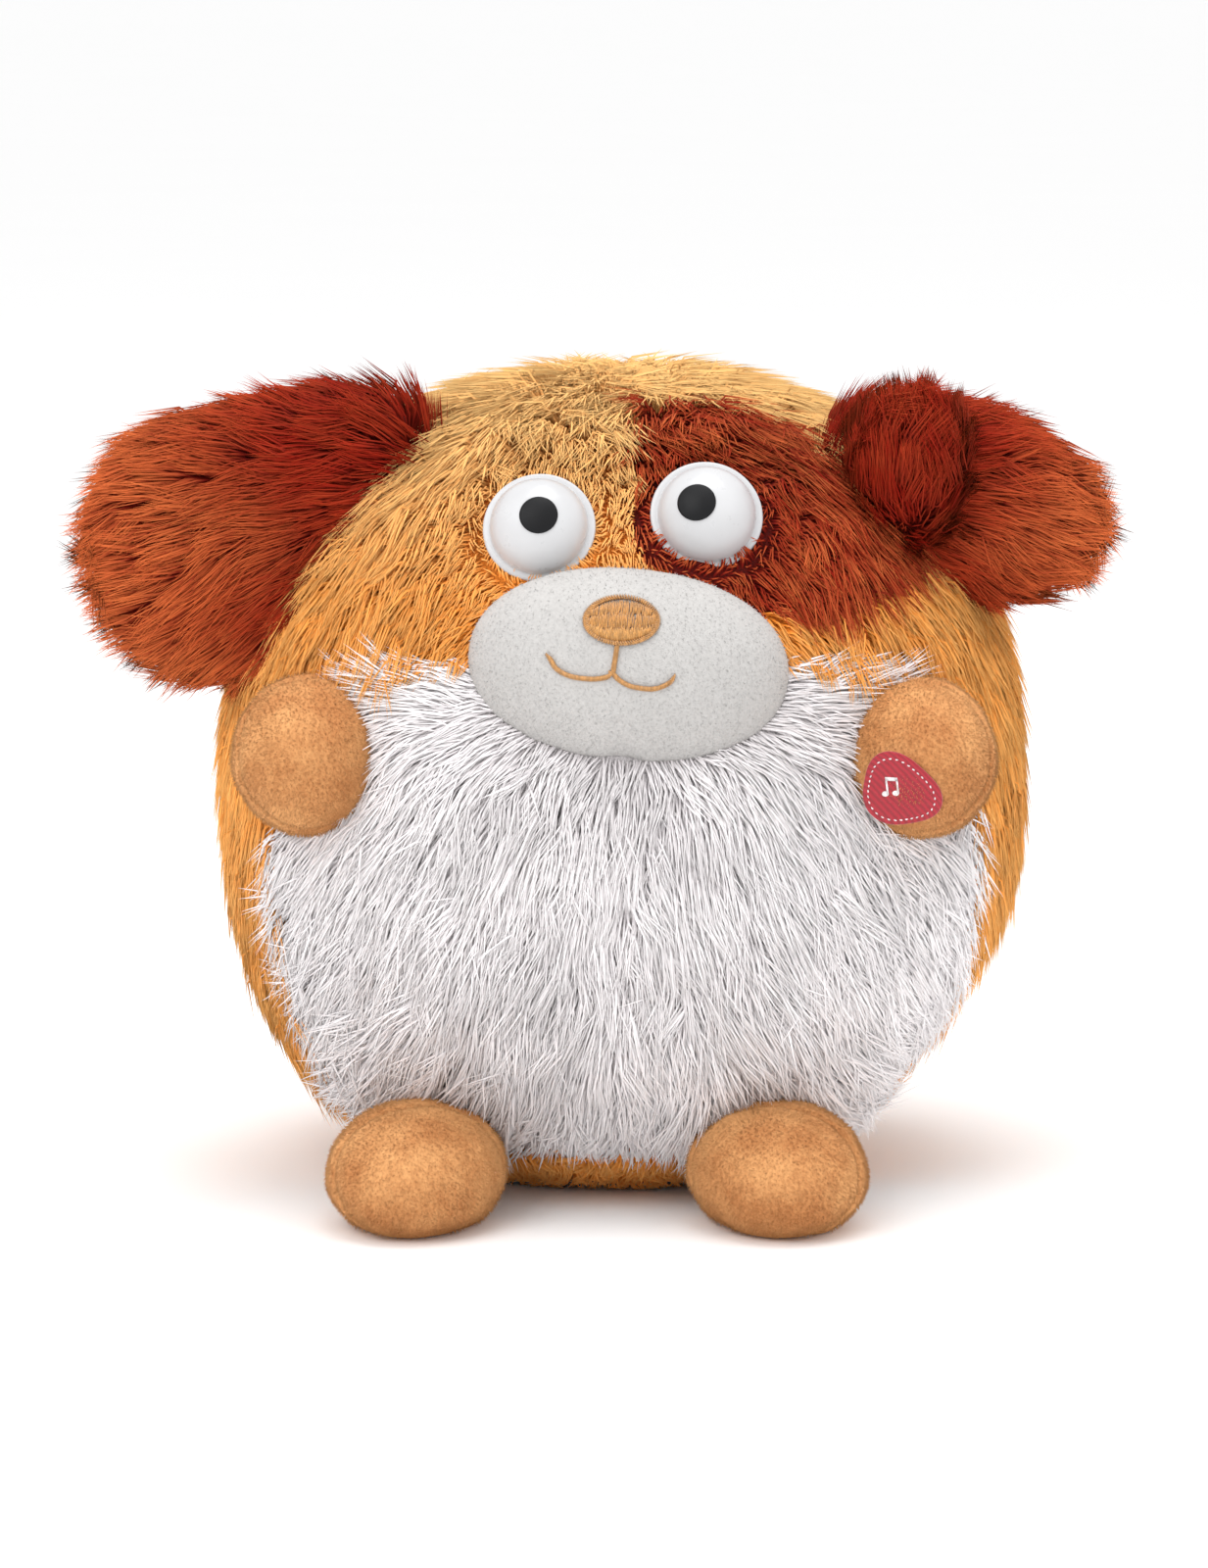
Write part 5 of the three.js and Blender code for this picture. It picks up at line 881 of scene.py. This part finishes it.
class PET_OT_backing(bpy.types.Operator):
    """Sew the knitted backing that the pile stands in"""

    bl_idname = "pet.backing"
    bl_label = "Body backing"

    def execute(self, context):
        settings = context.scene.pet_pile
        shape = ball(5, lambda points: on_body(points, -BACKING_INSET))
        for axis, half in ((Vector((1, 0, 0)), UNIT_HALF_WIDTH), (Vector((0, 1, 0)), UNIT_HALF_DEPTH)):
            for sign in (1, -1):
                low = self.low_faces(shape)
                edges = dict.fromkeys(e for f in low for e in f.edges)
                verts = dict.fromkeys(v for f in low for v in f.verts)
                bmesh.ops.bisect_plane(
                    shape, geom=list(verts) + list(edges) + low,
                    plane_co=axis * half * sign, plane_no=axis * sign,
                )
        inner = []
        for face in self.low_faces(shape):
            middle = face.calc_center_median()
            if abs(middle.x) < UNIT_HALF_WIDTH and abs(middle.y) < UNIT_HALF_DEPTH:
                inner.append(face)
        bmesh.ops.delete(shape, geom=inner, context="FACES")
        bmesh.ops.recalc_face_normals(shape, faces=shape.faces)
        bmesh.ops.solidify(shape, geom=shape.faces[:], thickness=BACKING_THICKNESS)
        piece = object_of("body_backing", shape)
        finish_piece(
            piece, shaded_backing_finish("Knitted backing", settings.golden_root),
            stands_for=[node for _, node, _ in PANELS.values()],
        )
        mesh = piece.data
        mesh.materials.append(shaded_backing_finish("White knitted backing", settings.white_root))
        mesh.materials.append(shaded_backing_finish("Brown knitted backing", settings.brown_root))
        centres = np.array([p.center for p in mesh.polygons]) / MM
        panels = panel_of(centres)
        which = np.where(panels == BELLY, 1, np.where(panels == PATCH, 2, 0))
        mesh.polygons.foreach_set("material_index", which.astype(np.int32))
        return {"FINISHED"}

    def low_faces(self, shape):
        return [f for f in shape.faces if f.calc_center_median().z < UNIT_WINDOW_TOP]


class PET_OT_body_pile(bpy.types.Operator):
    """Sow the long pile of the body, panel by panel"""

    bl_idname = "pet.body_pile"
    bl_label = "Body pile"

    def execute(self, context):
        settings = context.scene.pet_pile
        roots = on_body(spread_on_sphere(settings.body_tufts, 11), -ROOT_SINK)
        roots = roots[~bare_places(roots)]
        normals = body_normals(roots)
        panels = panel_of(roots)
        rng = np.random.default_rng(5)
        rise = 0.78 + 0.22 * smooth_step(roots[:, 2], 150, 215) + rng.normal(0, 0.09, len(roots))
        finishes = {
            "golden_plush": pile_finish(
                "Golden plush", settings.golden_root, settings.golden_tip, crown=settings.crown_highlight_tip
            ),
            "white_plush": pile_finish(
                "White plush", settings.white_root, settings.white_tip, 0.97, 0.95, 1.03
            ),
            "brown_plush": pile_finish(
                "Brown plush", settings.brown_root, settings.brown_tip, 0.7, 0.9, 1.15,
                deep_tip=settings.brown_deep, sheen=0.08,
            ),
        }
        paths, tone, facing = comb(
            roots, normals, body_flow(roots, panels), body_lengths(roots, panels, settings),
            rise, 21, **BODY_COMB,
        )
        radii = pile_radii(len(roots), settings.tuft_radius / MM, 31)
        for panel, (name, node, slot) in PANELS.items():
            chosen = np.flatnonzero(panels == panel)
            parts = max(1, math.ceil(len(chosen) * TUFT_TRIANGLES / STRIP_TRIANGLES))
            # A wide panel is sown in strips from side to side
            order = chosen[np.argsort(roots[chosen, 0])]
            for number, strip in enumerate(np.array_split(order, parts), 1):
                title = name if parts == 1 else f"{name}_{number}"
                piece = sow(
                    title, paths[strip], radii[strip], tone[strip], TUFT_STEPS, facing[strip], BODY_SOFTNESS
                )
                finish_piece(piece, finishes[slot], stands_for=[node])
        return {"FINISHED"}


class PET_OT_ears(bpy.types.Operator):
    """Sew both ears, the right one folded forward, and sow their pile"""

    bl_idname = "pet.ears"
    bl_label = "Ears"

    def execute(self, context):
        settings = context.scene.pet_pile
        finish = pile_finish(
            "Brown ear plush", settings.brown_root, settings.brown_tip, 0.7, 0.85, 1.15,
            deep_tip=settings.brown_deep, sheen=0.08,
        )
        cloth = shaded_backing_finish("Brown ear backing", settings.brown_root)
        forms = {
            "left": [(EAR_LEFT_OUTLINE, EAR_MIDDLE_Y, EAR_HALF_THICKNESS, EAR_LEFT_SEWN)],
            "right": [
                (EAR_RIGHT_OUTLINE, EAR_MIDDLE_Y, EAR_HALF_THICKNESS, EAR_RIGHT_SEWN),
                (EAR_LOBE_OUTLINE, LOBE_MIDDLE_Y, LOBE_HALF_THICKNESS, LOBE_SEWN),
            ],
        }
        for side, shapes in forms.items():
            for number, (outline, middle_y, half, sewn) in enumerate(shapes):
                name = f"ear_{side}" if number == 0 else f"ear_{side}_fold"
                core = object_of(f"{name}_cloth", ball(5, ear_form(outline, middle_y, half)))
                finish_piece(core, cloth, f"ear_{side}", [f"ear_{side}_plush"])
                share = 1 if side == "left" else RIGHT_EAR_SHARES[number]
                count = int(settings.ear_tufts * share)
                roots, normals = surface_roots(
                    core, count, 41 + number, lambda points: body_value(points) > 0.94
                )
                out = roots - np.array(sewn)
                flow = unit(out) + np.array((0, 0, -0.16))
                lengths = np.full(len(roots), settings.ear_length / MM) * (1 if number == 0 else LOBE_PILE)
                rng = np.random.default_rng(51 + number)
                rise = 0.62 + rng.normal(0, 0.1, len(roots))
                paths, tone, facing = comb(
                    roots - normals * EAR_ROOT_SINK, normals, flow, lengths, rise, 61 + number, **EAR_COMB
                )
                # The tone is deep near where the ear is sewn on and lighter towards its tip
                far = np.linalg.norm(out, axis=1) + 9 * np.sin(roots[:, 2] / 7)
                tone = 0.3 * tone + 0.7 * smooth_step(far, 26, 76)
                radii = pile_radii(len(roots), settings.tuft_radius / MM, 71 + number)
                pile = sow(f"{name}_pile", paths, radii, tone, TUFT_STEPS, facing, EAR_SOFTNESS)
                finish_piece(pile, finish, f"ear_{side}", [f"ear_{side}_plush"])
        return {"FINISHED"}


def muzzle_form(points):
    """Places a unit ball's points on the muzzle: two soft cheeks with a dart below."""
    x, y, z = points.T
    wide = np.sign(x) * np.abs(x) ** MUZZLE_SQUARENESS[0] * MUZZLE_HALVES[0]
    tall = np.sign(z) * np.abs(z) ** MUZZLE_SQUARENESS[1] * MUZZLE_HALVES[2]
    dart = np.exp(-((x / DART_WIDTH) ** 2)) * smooth_step(-z, 0.3, 0.95)
    deep = y * MUZZLE_HALVES[1] + DART_INSET * dart
    tall = tall + DART_RISE * dart
    c, s = math.cos(MUZZLE_ROLL), math.sin(MUZZLE_ROLL)
    middle_x, middle_y, middle_z = MUZZLE_MIDDLE
    return np.stack(
        (middle_x + wide * c + tall * s, middle_y + deep, middle_z - wide * s + tall * c), axis=1
    )


def muzzle_front(x, z, proud):
    """The point of the muzzle's face at a place in front view, that much proud of it."""
    wide, tall = np.abs(in_muzzle(x, z))
    rest = 1 - wide ** (2 / MUZZLE_SQUARENESS[0]) - tall ** (2 / MUZZLE_SQUARENESS[1])
    y = MUZZLE_MIDDLE[1] - MUZZLE_HALVES[1] * np.sqrt(np.maximum(rest, 0)) - proud
    return np.stack((x, y, z), axis=-1)


class PET_OT_muzzle(bpy.types.Operator):
    """Shape the short-pile muzzle"""

    bl_idname = "pet.muzzle"
    bl_label = "Muzzle"

    def execute(self, context):
        settings = context.scene.pet_face
        core = object_of("muzzle", ball(6, muzzle_form))
        # The muzzle colour at 0.93 is its shaded copy: painted shade of the nap
        fabric = velvet_finish(
            "White velvet", settings.muzzle_colour, tinted(settings.muzzle_colour, 0.93), 0.35
        )
        finish_piece(core, fabric, stands_for=["muzzle_plush"])
        pile = nap(
            "muzzle_nap", core, MUZZLE_NAP_TUFTS, settings.nap_length / MM, 0.17, (0, 0, -1), 81,
            lambda roots: body_value(roots) > 0.9,
        )
        finish_piece(pile, fabric)
        return {"FINISHED"}


def thread_run(name, x, z, proud, thickness, tone, material, node):
    """Threads through places (thread, step) in front view, laid over the muzzle's face."""
    paths = muzzle_front(x, z, proud)
    radii = np.broadcast_to(thickness, x.shape) * np.ones(x.shape)
    piece = sow(name, paths, radii, tone, THREAD_STEPS)
    return finish_piece(piece, material, stands_for=[node])


class PET_OT_stitches(bpy.types.Operator):
    """Embroider the nose and the mouth"""

    bl_idname = "pet.stitches"
    bl_label = "Nose and mouth"

    def execute(self, context):
        settings = context.scene.pet_face
        rng = np.random.default_rng(7)
        golden = thread_finish("Nose thread", settings.thread_colour)
        brown = thread_finish("Outline thread", settings.outline_colour)
        # Satin stitches side by side across the nose, in three rows that meet unevenly
        rows = []
        for low, high in ((-1.0, -0.22), (-0.5, 0.5), (0.22, 1.0)):
            across = np.linspace(-0.95, 0.94, NOSE_STITCHES)
            across = across + rng.normal(0, 0.006, len(across))
            tall = np.sqrt(1 - across**2)
            start = (low + rng.normal(0, 0.09, len(across)) * (abs(low) < 0.9)) * tall
            end = (high + rng.normal(0, 0.09, len(across)) * (abs(high) < 0.9)) * tall
            steps = np.array(THREAD_STEPS)[None, :]
            x = NOSE_X + across[:, None] * NOSE_HALVES[0] + 0.5 * (steps - 0.5)
            z = NOSE_Z + (start[:, None] + (end - start)[:, None] * steps) * NOSE_HALVES[1]
            rows.append((x, z))
        x, z = (np.concatenate([row[i] for row in rows]) for i in range(2))
        thread_run(
            "nose_satin", x, z, 0.5 + THREAD_ARCH[None, :] * 0.7, 0.36, rng.random(len(x)), golden,
            "nose_embroidery",
        )
        turn = np.linspace(0, 2 * math.pi, NOSE_EDGE_STITCHES, endpoint=False)
        reach = 1 + np.linspace(-0.13, 0.09, 5)[None, :]
        slant = turn[:, None] + np.linspace(-0.05, 0.05, 5)[None, :]
        x = NOSE_X + NOSE_HALVES[0] * reach * np.cos(slant)
        z = NOSE_Z + (NOSE_HALVES[1] + NOSE_EDGE) * reach * np.sin(slant)
        thread_run(
            "nose_edge", x, z, 0.6 + THREAD_ARCH[None, :] * 0.9, 0.34, rng.random(len(x)), brown,
            "nose_embroidery",
        )
        starts, ends = [], []
        for line in (SMILE, SMILE_RIGHT, PHILTRUM):
            spots = smooth_line(line, MOUTH_SPACING)
            ahead = unit(np.gradient(spots, axis=0))
            aside = np.stack((-ahead[:, 1], ahead[:, 0]), axis=1)
            starts.append(spots - ahead * MOUTH_REACH - aside * MOUTH_SLANT)
            ends.append(spots + ahead * MOUTH_REACH + aside * MOUTH_SLANT)
        start, end = np.concatenate(starts), np.concatenate(ends)
        steps = np.array(THREAD_STEPS)[None, :]
        x = start[:, :1] + (end - start)[:, :1] * steps
        z = start[:, 1:] + (end - start)[:, 1:] * steps
        thread_run(
            "mouth_stitches", x, z, 0.3 + THREAD_ARCH[None, :] * 0.8, 0.42, rng.random(len(x)), brown,
            "mouth_embroidery",
        )
        return {"FINISHED"}


def smooth_line(points, spacing):
    """Even places along a smooth line through a few points."""
    spots = np.array(points, float)
    ends = np.vstack((2 * spots[0] - spots[1], spots, 2 * spots[-1] - spots[-2]))
    t = np.linspace(0, 1, 16, endpoint=False)[:, None]
    parts = [curve_between(a, b, c, d, t) for a, b, c, d in zip(ends, ends[1:], ends[2:], ends[3:])]
    curve = np.vstack((*parts, spots[-1:]))
    far = np.concatenate(([0], np.cumsum(np.linalg.norm(np.diff(curve, axis=0), axis=1))))
    places = np.arange(0, far[-1], spacing)
    return np.stack([np.interp(places, far, curve[:, i]) for i in range(2)], axis=1)


def spun(profile, segments):
    """A closed turned shape about +Z from a profile of (radius, height)."""
    shape = bmesh.new()
    verts = [shape.verts.new((radius, 0, height)) for radius, height in profile]
    edges = [shape.edges.new(pair) for pair in zip(verts, verts[1:])]
    bmesh.ops.spin(
        shape, geom=verts + edges, cent=(0, 0, 0), axis=(0, 0, 1), angle=2 * math.pi, steps=segments,
        use_merge=True,
    )
    bmesh.ops.remove_doubles(shape, verts=shape.verts, dist=1e-3)
    bmesh.ops.recalc_face_normals(shape, faces=shape.faces)
    return shape


def aimed(shape, direction, place):
    turn = Vector((0, 0, 1)).rotation_difference(Vector(direction)).to_matrix()
    bmesh.ops.transform(shape, matrix=Matrix.Translation(place) @ turn.to_4x4(), verts=shape.verts)
    return shape


class PET_OT_eyes(bpy.types.Operator):
    """Mould the white eye domes with their black pupils"""

    bl_idname = "pet.eyes"
    bl_label = "Eyes"

    def execute(self, context):
        white = moulded_finish("Eye white", (0.57, 0.57, 0.58), 0.3, coat=0.12, bump=0.015)
        black = moulded_finish("Pupil black", (0.006, 0.006, 0.007), 0.4, 2600.0, 0.12, specular=0.2)
        quarter = [math.pi / 2 * i / 16 for i in range(17)]
        dome = [
            (EYE_DOME_RADIUS * math.cos(a), EYE_FLANGE_THICKNESS + EYE_DOME_HEIGHT * math.sin(a))
            for a in quarter
        ]
        dome[-1] = (0.0, dome[-1][1])
        edge = EYE_FLANGE_RADIUS
        rim = EYE_FLANGE_THICKNESS
        profile = [
            (0.0, -EYE_STEM_LENGTH), (EYE_STEM_RADIUS - 0.4, -EYE_STEM_LENGTH),
            (EYE_STEM_RADIUS, -EYE_STEM_LENGTH + 0.5), (EYE_STEM_RADIUS, 0.0), (edge - 0.5, 0.0),
            (edge - 0.15, 0.15), (edge, rim * 0.5), (edge - 0.15, rim - 0.2), (edge - 0.5, rim),
            (EYE_DOME_RADIUS + 0.35, rim), *dome,
        ]
        for side, place in EYES.items():
            direction = eye_direction(side)
            piece = object_of(f"eye_{side}", aimed(spun(profile, 96), direction, place))
            finish_piece(piece, white, stands_for=[f"eye_{side}_dome"])
            # The pupil is a thin printed lens that lies on the dome where the eye looks
            look = eye_direction(side, EYE_LOOK[side])
            middle = Vector(place) + direction * EYE_FLANGE_THICKNESS
            rings = [(PUPIL_RADIUS * i / 10, 0.0) for i in range(11)]
            lens = aimed(spun(rings, 72), look, middle)
            for vertex in lens.verts:
                vertex.co = self.on_dome(vertex.co - middle, look, direction) + middle
            bmesh.ops.recalc_face_normals(lens, faces=lens.faces)
            bmesh.ops.solidify(lens, geom=lens.faces[:], thickness=-PUPIL_THICKNESS)
            bmesh.ops.recalc_face_normals(lens, faces=lens.faces)
            piece = object_of(f"pupil_{side}", lens)
            finish_piece(piece, black, stands_for=[f"eye_{side}_pupil"])
        return {"FINISHED"}

    def on_dome(self, start, look, axis):
        """Where a line along look from start leaves the dome."""
        def squeezed(vector):
            high = vector.dot(axis)
            return (vector - axis * high) / EYE_DOME_RADIUS + axis * (high / EYE_DOME_HEIGHT)

        p, d = squeezed(start), squeezed(look)
        a, b, c = d.dot(d), 2 * p.dot(d), p.dot(p) - 1
        return start + look * ((-b + math.sqrt(b * b - 4 * a * c)) / (2 * a))


class PET_OT_badge(bpy.types.Operator):
    """Sew the red press badge with its note and its row of stitches"""

    bl_idname = "pet.badge"
    bl_label = "Press badge"

    def execute(self, context):
        settings = context.scene.pet_badge
        level = math.cos(BADGE_DIP)
        out = Vector((-math.sin(BADGE_YAW) * level, -math.cos(BADGE_YAW) * level, -math.sin(BADGE_DIP)))
        across = (Vector((1, 0, 0)) - out * out.x).normalized()
        up = out.cross(across)
        low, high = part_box("paw_badge")
        middle = (low + high) / 2 / MM
        spot = Matrix((across, up, out)).transposed().to_4x4()
        spot.translation = middle

        def reach(angle):
            return BADGE_RADIUS * (1 + BADGE_LOBES * np.cos(3 * (angle - BADGE_CORNER)))

        def pad(points):
            angle = np.arctan2(points[:, 1], points[:, 0])
            flat = np.hypot(points[:, 0], points[:, 1])
            radius = reach(angle) * flat**BADGE_EDGE
            height = BADGE_THICKNESS / 2 * np.sign(points[:, 2]) * np.abs(points[:, 2]) ** BADGE_EDGE
            return np.stack((radius * np.cos(angle), radius * np.sin(angle), height), axis=1)

        cloth = ball(5, pad)
        bmesh.ops.transform(cloth, matrix=spot, verts=cloth.verts)
        piece = object_of("press_badge", cloth)
        satin = Finish("Badge satin", roughness=0.42, specular=0.45, sheen=0.5)
        weave = satin.node("ShaderNodeTexWave", wave_type="BANDS", bands_direction="DIAGONAL")
        weave.inputs["Scale"].default_value = 520
        weave.inputs["Distortion"].default_value = 1.5
        satin.join(satin.place(), weave.inputs["Vector"])
        dark, light = (tinted(settings.satin_colour, factor) for factor in (0.8, 1.25))
        satin.colour(satin.mix(weave.outputs["Fac"], dark, light))
        satin.bump(weave.outputs["Fac"], 0.3, 0.0002)
        finish_piece(piece, satin.material, "paw_button", ["paw_badge"])
        face = BADGE_THICKNESS / 2
        print_shape = bmesh.new()
        for i in range(BADGE_STITCHES):
            angle = 2 * math.pi * i / BADGE_STITCHES
            radius = float(reach(angle)) * BADGE_STITCH_PLACE
            made = bmesh.ops.create_icosphere(print_shape, subdivisions=1, radius=1)["verts"]
            bmesh.ops.scale(print_shape, vec=(0.22, 0.5, 0.2), verts=made)
            bmesh.ops.rotate(print_shape, cent=(0, 0, 0), matrix=Matrix.Rotation(angle, 3, "Z"), verts=made)
            bmesh.ops.translate(
                print_shape, vec=(radius * math.cos(angle), radius * math.sin(angle), face * 0.9), verts=made
            )
        self.note(print_shape, face)
        bmesh.ops.transform(print_shape, matrix=spot, verts=print_shape.verts)
        piece = object_of("badge_print", print_shape)
        finish_piece(
            piece, thread_finish("Badge print", tuple(settings.print_colour)), "paw_button"
        )
        return {"FINISHED"}

    def note(self, shape, face):
        """Two joined quavers, raised a little over the satin."""
        tilt = Matrix.Rotation(math.radians(8), 3, "Z")
        before = set(shape.verts)
        for x, z in ((-1.5, -2.2), (1.5, -1.8)):
            head = bmesh.ops.create_uvsphere(shape, u_segments=16, v_segments=8, radius=1)["verts"]
            bmesh.ops.scale(shape, vec=(1.05, 0.8, 0.25), verts=head)
            bmesh.ops.rotate(shape, cent=(0, 0, 0), matrix=Matrix.Rotation(0.4, 3, "Z"), verts=head)
            bmesh.ops.translate(shape, vec=(x, z, face), verts=head)
            stem = bmesh.ops.create_cube(shape, size=1)["verts"]
            bmesh.ops.scale(shape, vec=(0.5, 4.6, 0.42), verts=stem)
            bmesh.ops.translate(shape, vec=(x + 0.75, z + 2.3, face), verts=stem)
        beam = bmesh.ops.create_cube(shape, size=1)["verts"]
        bmesh.ops.scale(shape, vec=(3.5, 1.0, 0.42), verts=beam)
        bmesh.ops.translate(shape, vec=(0.75, 2.5, face), verts=beam)
        made = [v for v in shape.verts if v not in before]
        bmesh.ops.rotate(shape, cent=(0, 0, face), matrix=tilt, verts=made)
        bmesh.ops.translate(shape, vec=(-2.6, 1.0, 0), verts=made)


def dressed_by_slot(finishes):
    """Each frame piece takes the finish of the slot that it was packed with."""
    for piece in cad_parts.values():
        for slot in piece.material_slots:
            name = slot.material.name.split(".")[0] if slot.material else ""
            if name in finishes:
                slot.material = finishes[name]


class PET_OT_limbs(bpy.types.Operator):
    """Stuff the velvet arms and feet"""

    bl_idname = "pet.limbs"
    bl_label = "Arms and feet"

    def execute(self, context):
        settings = context.scene.pet_limbs
        fabric = velvet_finish("Golden velvet", settings.velvet_light, settings.velvet_shaded)
        for kind, places, halves, count in (
            ("arm", ARMS, ARM_HALVES, ARM_NAP_TUFTS), ("foot", FEET, FOOT_HALVES, FOOT_NAP_TUFTS)
        ):
            for number, (side, turn) in enumerate(SIDES):
                middle = np.array(places[side])

                def place(points):
                    angle = turn * LIMB_TURN
                    # The seam that joins the palm to the back of the limb draws the cloth in
                    facing = unit(np.array((SEAM_FACING[0] * turn, *SEAM_FACING[1:])))
                    seam = np.exp(-(((points @ facing - SEAM_PLACE) / SEAM_WIDTH) ** 2))
                    offset = Vector((number, 0, 0))
                    ripple = np.array([noise.noise(Vector(p) * RIPPLE_SCALE + offset) for p in points])
                    grown = points * np.array(halves) * (1 - SEAM_DEPTH * seam + RIPPLE * ripple)[:, None]
                    x = grown[:, 0] * math.cos(angle) - grown[:, 1] * math.sin(angle)
                    y = grown[:, 0] * math.sin(angle) + grown[:, 1] * math.cos(angle)
                    made = np.stack((x, y, grown[:, 2]), axis=1) + middle
                    made[:, 2] = np.maximum(made[:, 2], LIMB_FLOOR_Z)
                    return made

                core = object_of(f"{kind}_{side}", ball(6, place))
                finish_piece(core, fabric, stands_for=[f"{kind}_{side}_plush"])
                pile = nap(
                    f"{kind}_{side}_nap", core, count, settings.nap_length / MM, 0.18,
                    (0, -0.4, -0.8), 91 + number,
                    lambda roots: (body_value(roots) > 0.93) & (roots[:, 2] > 1.2),
                )
                finish_piece(pile, fabric)
        return {"FINISHED"}


class PET_OT_hardware(bpy.types.Operator):
    """Finish the unit, drive, battery bay and leads"""

    bl_idname = "pet.hardware"
    bl_label = "Unit and drive"

    def execute(self, context):
        finishes = {
            "fibre_filling": shaded_backing_finish("Fibre filling", (0.9, 0.9, 0.86)),
            "brown_thread": thread_finish("Brown thread", (0.42, 0.19, 0.06)),
            "red_satin": thread_finish("Red satin", tuple(context.scene.pet_badge.satin_colour)),
            "white_plastic": moulded_finish("White plastic", (0.86, 0.87, 0.88), 0.16, coat=0.3, bump=0.02),
            "black_plastic": moulded_finish(
                "Black plastic", (0.012, 0.012, 0.014), 0.18, coat=0.3, bump=0.02
            ),
            "grey_plastic": moulded_finish("Grey plastic", (0.16, 0.17, 0.19), 0.5),
            "gear_plastic": moulded_finish("Gear plastic", (0.80, 0.76, 0.64), 0.42),
            "bright_steel": metal_finish("Bright steel", (0.62, 0.62, 0.63), 0.3),
            "dark_steel": metal_finish("Dark steel", (0.25, 0.25, 0.27), 0.4),
            "green_board": moulded_finish("Green board", (0.015, 0.16, 0.05), 0.45, 300.0, 0.2),
            "cell_wrap": moulded_finish("Cell wrap", (0.03, 0.05, 0.12), 0.3),
            "cone_paper": moulded_finish("Cone paper", (0.05, 0.05, 0.05), 0.85, 1500.0, 0.4),
            "lead_sheath": moulded_finish("Lead sheath", (0.35, 0.02, 0.02), 0.45),
        }
        dressed_by_slot(finishes)
        return {"FINISHED"}


class PET_OT_stage(bpy.types.Operator):
    """Set the pale floor, the soft lights and the camera"""

    bl_idname = "pet.stage"
    bl_label = "Stage"

    def execute(self, context):
        settings = context.scene.pet_stage
        shape = bmesh.new()
        bmesh.ops.create_grid(shape, x_segments=2, y_segments=2, size=FLOOR_HALF_SIZE)
        floor = object_of("floor", shape)
        paint = Finish("Pale floor", roughness=0.9, specular=0.1)
        cloud = paint.range(paint.noise(3.0, 2.0), 0, 1)
        paint.colour(paint.mix(cloud, tinted(settings.floor_colour, 0.99), settings.floor_colour))
        floor.data.materials.append(paint.material)
        world = bpy.data.worlds.new("Studio")
        world.use_nodes = True
        sky = world.node_tree.nodes["Background"].inputs
        sky["Color"].default_value = (1, 1, 1, 1)
        sky["Strength"].default_value = settings.sky_strength
        context.scene.world = world
        for name, spot, size, power in LIGHTS:
            lamp = bpy.data.lights.new(name, "AREA")
            lamp.size = size
            lamp.energy = power
            light = bpy.data.objects.new(name, lamp)
            light.location = spot
            light.rotation_euler = (Vector(LIGHTS_AIM) - Vector(spot)).to_track_quat("-Z", "Y").to_euler()
            context.collection.objects.link(light)
        context.scene.view_settings.view_transform = "Standard"
        target = Vector(CAMERA_AIM)
        distance, rise = settings.camera_distance, settings.camera_height
        lens = bpy.data.cameras.new("camera")
        lens.sensor_fit = "VERTICAL"
        lens.sensor_height = 24
        lens.lens = lens.sensor_height * distance / settings.view_height
        lens.clip_end = 200
        camera = bpy.data.objects.new("camera", lens)
        camera.location = target + Vector((0, -math.cos(rise), math.sin(rise))) * distance
        camera.rotation_euler = (target - camera.location).to_track_quat("-Z", "Y").to_euler()
        context.collection.objects.link(camera)
        context.scene.camera = camera
        return {"FINISHED"}


class PET_PT_panel(bpy.types.Panel):
    """The pet's pieces, in the order that they are made"""

    bl_idname = "PET_PT_panel"
    bl_label = "Plush Pet"
    bl_space_type = "VIEW_3D"
    bl_region_type = "UI"
    bl_category = "Plush Pet"

    def draw(self, context):
        for step in STEPS:
            self.layout.operator(step.bl_idname)
        for group, kind in SETTINGS.items():
            box = self.layout.box()
            box.label(text=kind.__doc__)
            values = getattr(context.scene, group)
            for key in kind.__annotations__:
                box.prop(values, key)


STEPS = (
    PET_OT_stage,
    PET_OT_backing,
    PET_OT_body_pile,
    PET_OT_ears,
    PET_OT_muzzle,
    PET_OT_stitches,
    PET_OT_eyes,
    PET_OT_limbs,
    PET_OT_badge,
    PET_OT_hardware,
)


def register():
    for kind in SETTINGS.values():
        bpy.utils.register_class(kind)
    for group, kind in SETTINGS.items():
        setattr(bpy.types.Scene, group, bpy.props.PointerProperty(type=kind))
    for step in STEPS:
        bpy.utils.register_class(step)
    bpy.utils.register_class(PET_PT_panel)


def unregister():
    bpy.utils.unregister_class(PET_PT_panel)
    for step in reversed(STEPS):
        bpy.utils.unregister_class(step)
    for group in SETTINGS:
        delattr(bpy.types.Scene, group)
    for kind in reversed(SETTINGS.values()):
        bpy.utils.unregister_class(kind)


def main():
    register()
    bpy.ops.pet.stage()
    bpy.ops.pet.backing()
    bpy.ops.pet.body_pile()
    bpy.ops.pet.ears()
    bpy.ops.pet.muzzle()
    bpy.ops.pet.stitches()
    bpy.ops.pet.eyes()
    bpy.ops.pet.limbs()
    bpy.ops.pet.badge()
    bpy.ops.pet.hardware()


if __name__ == "__main__":
    main()
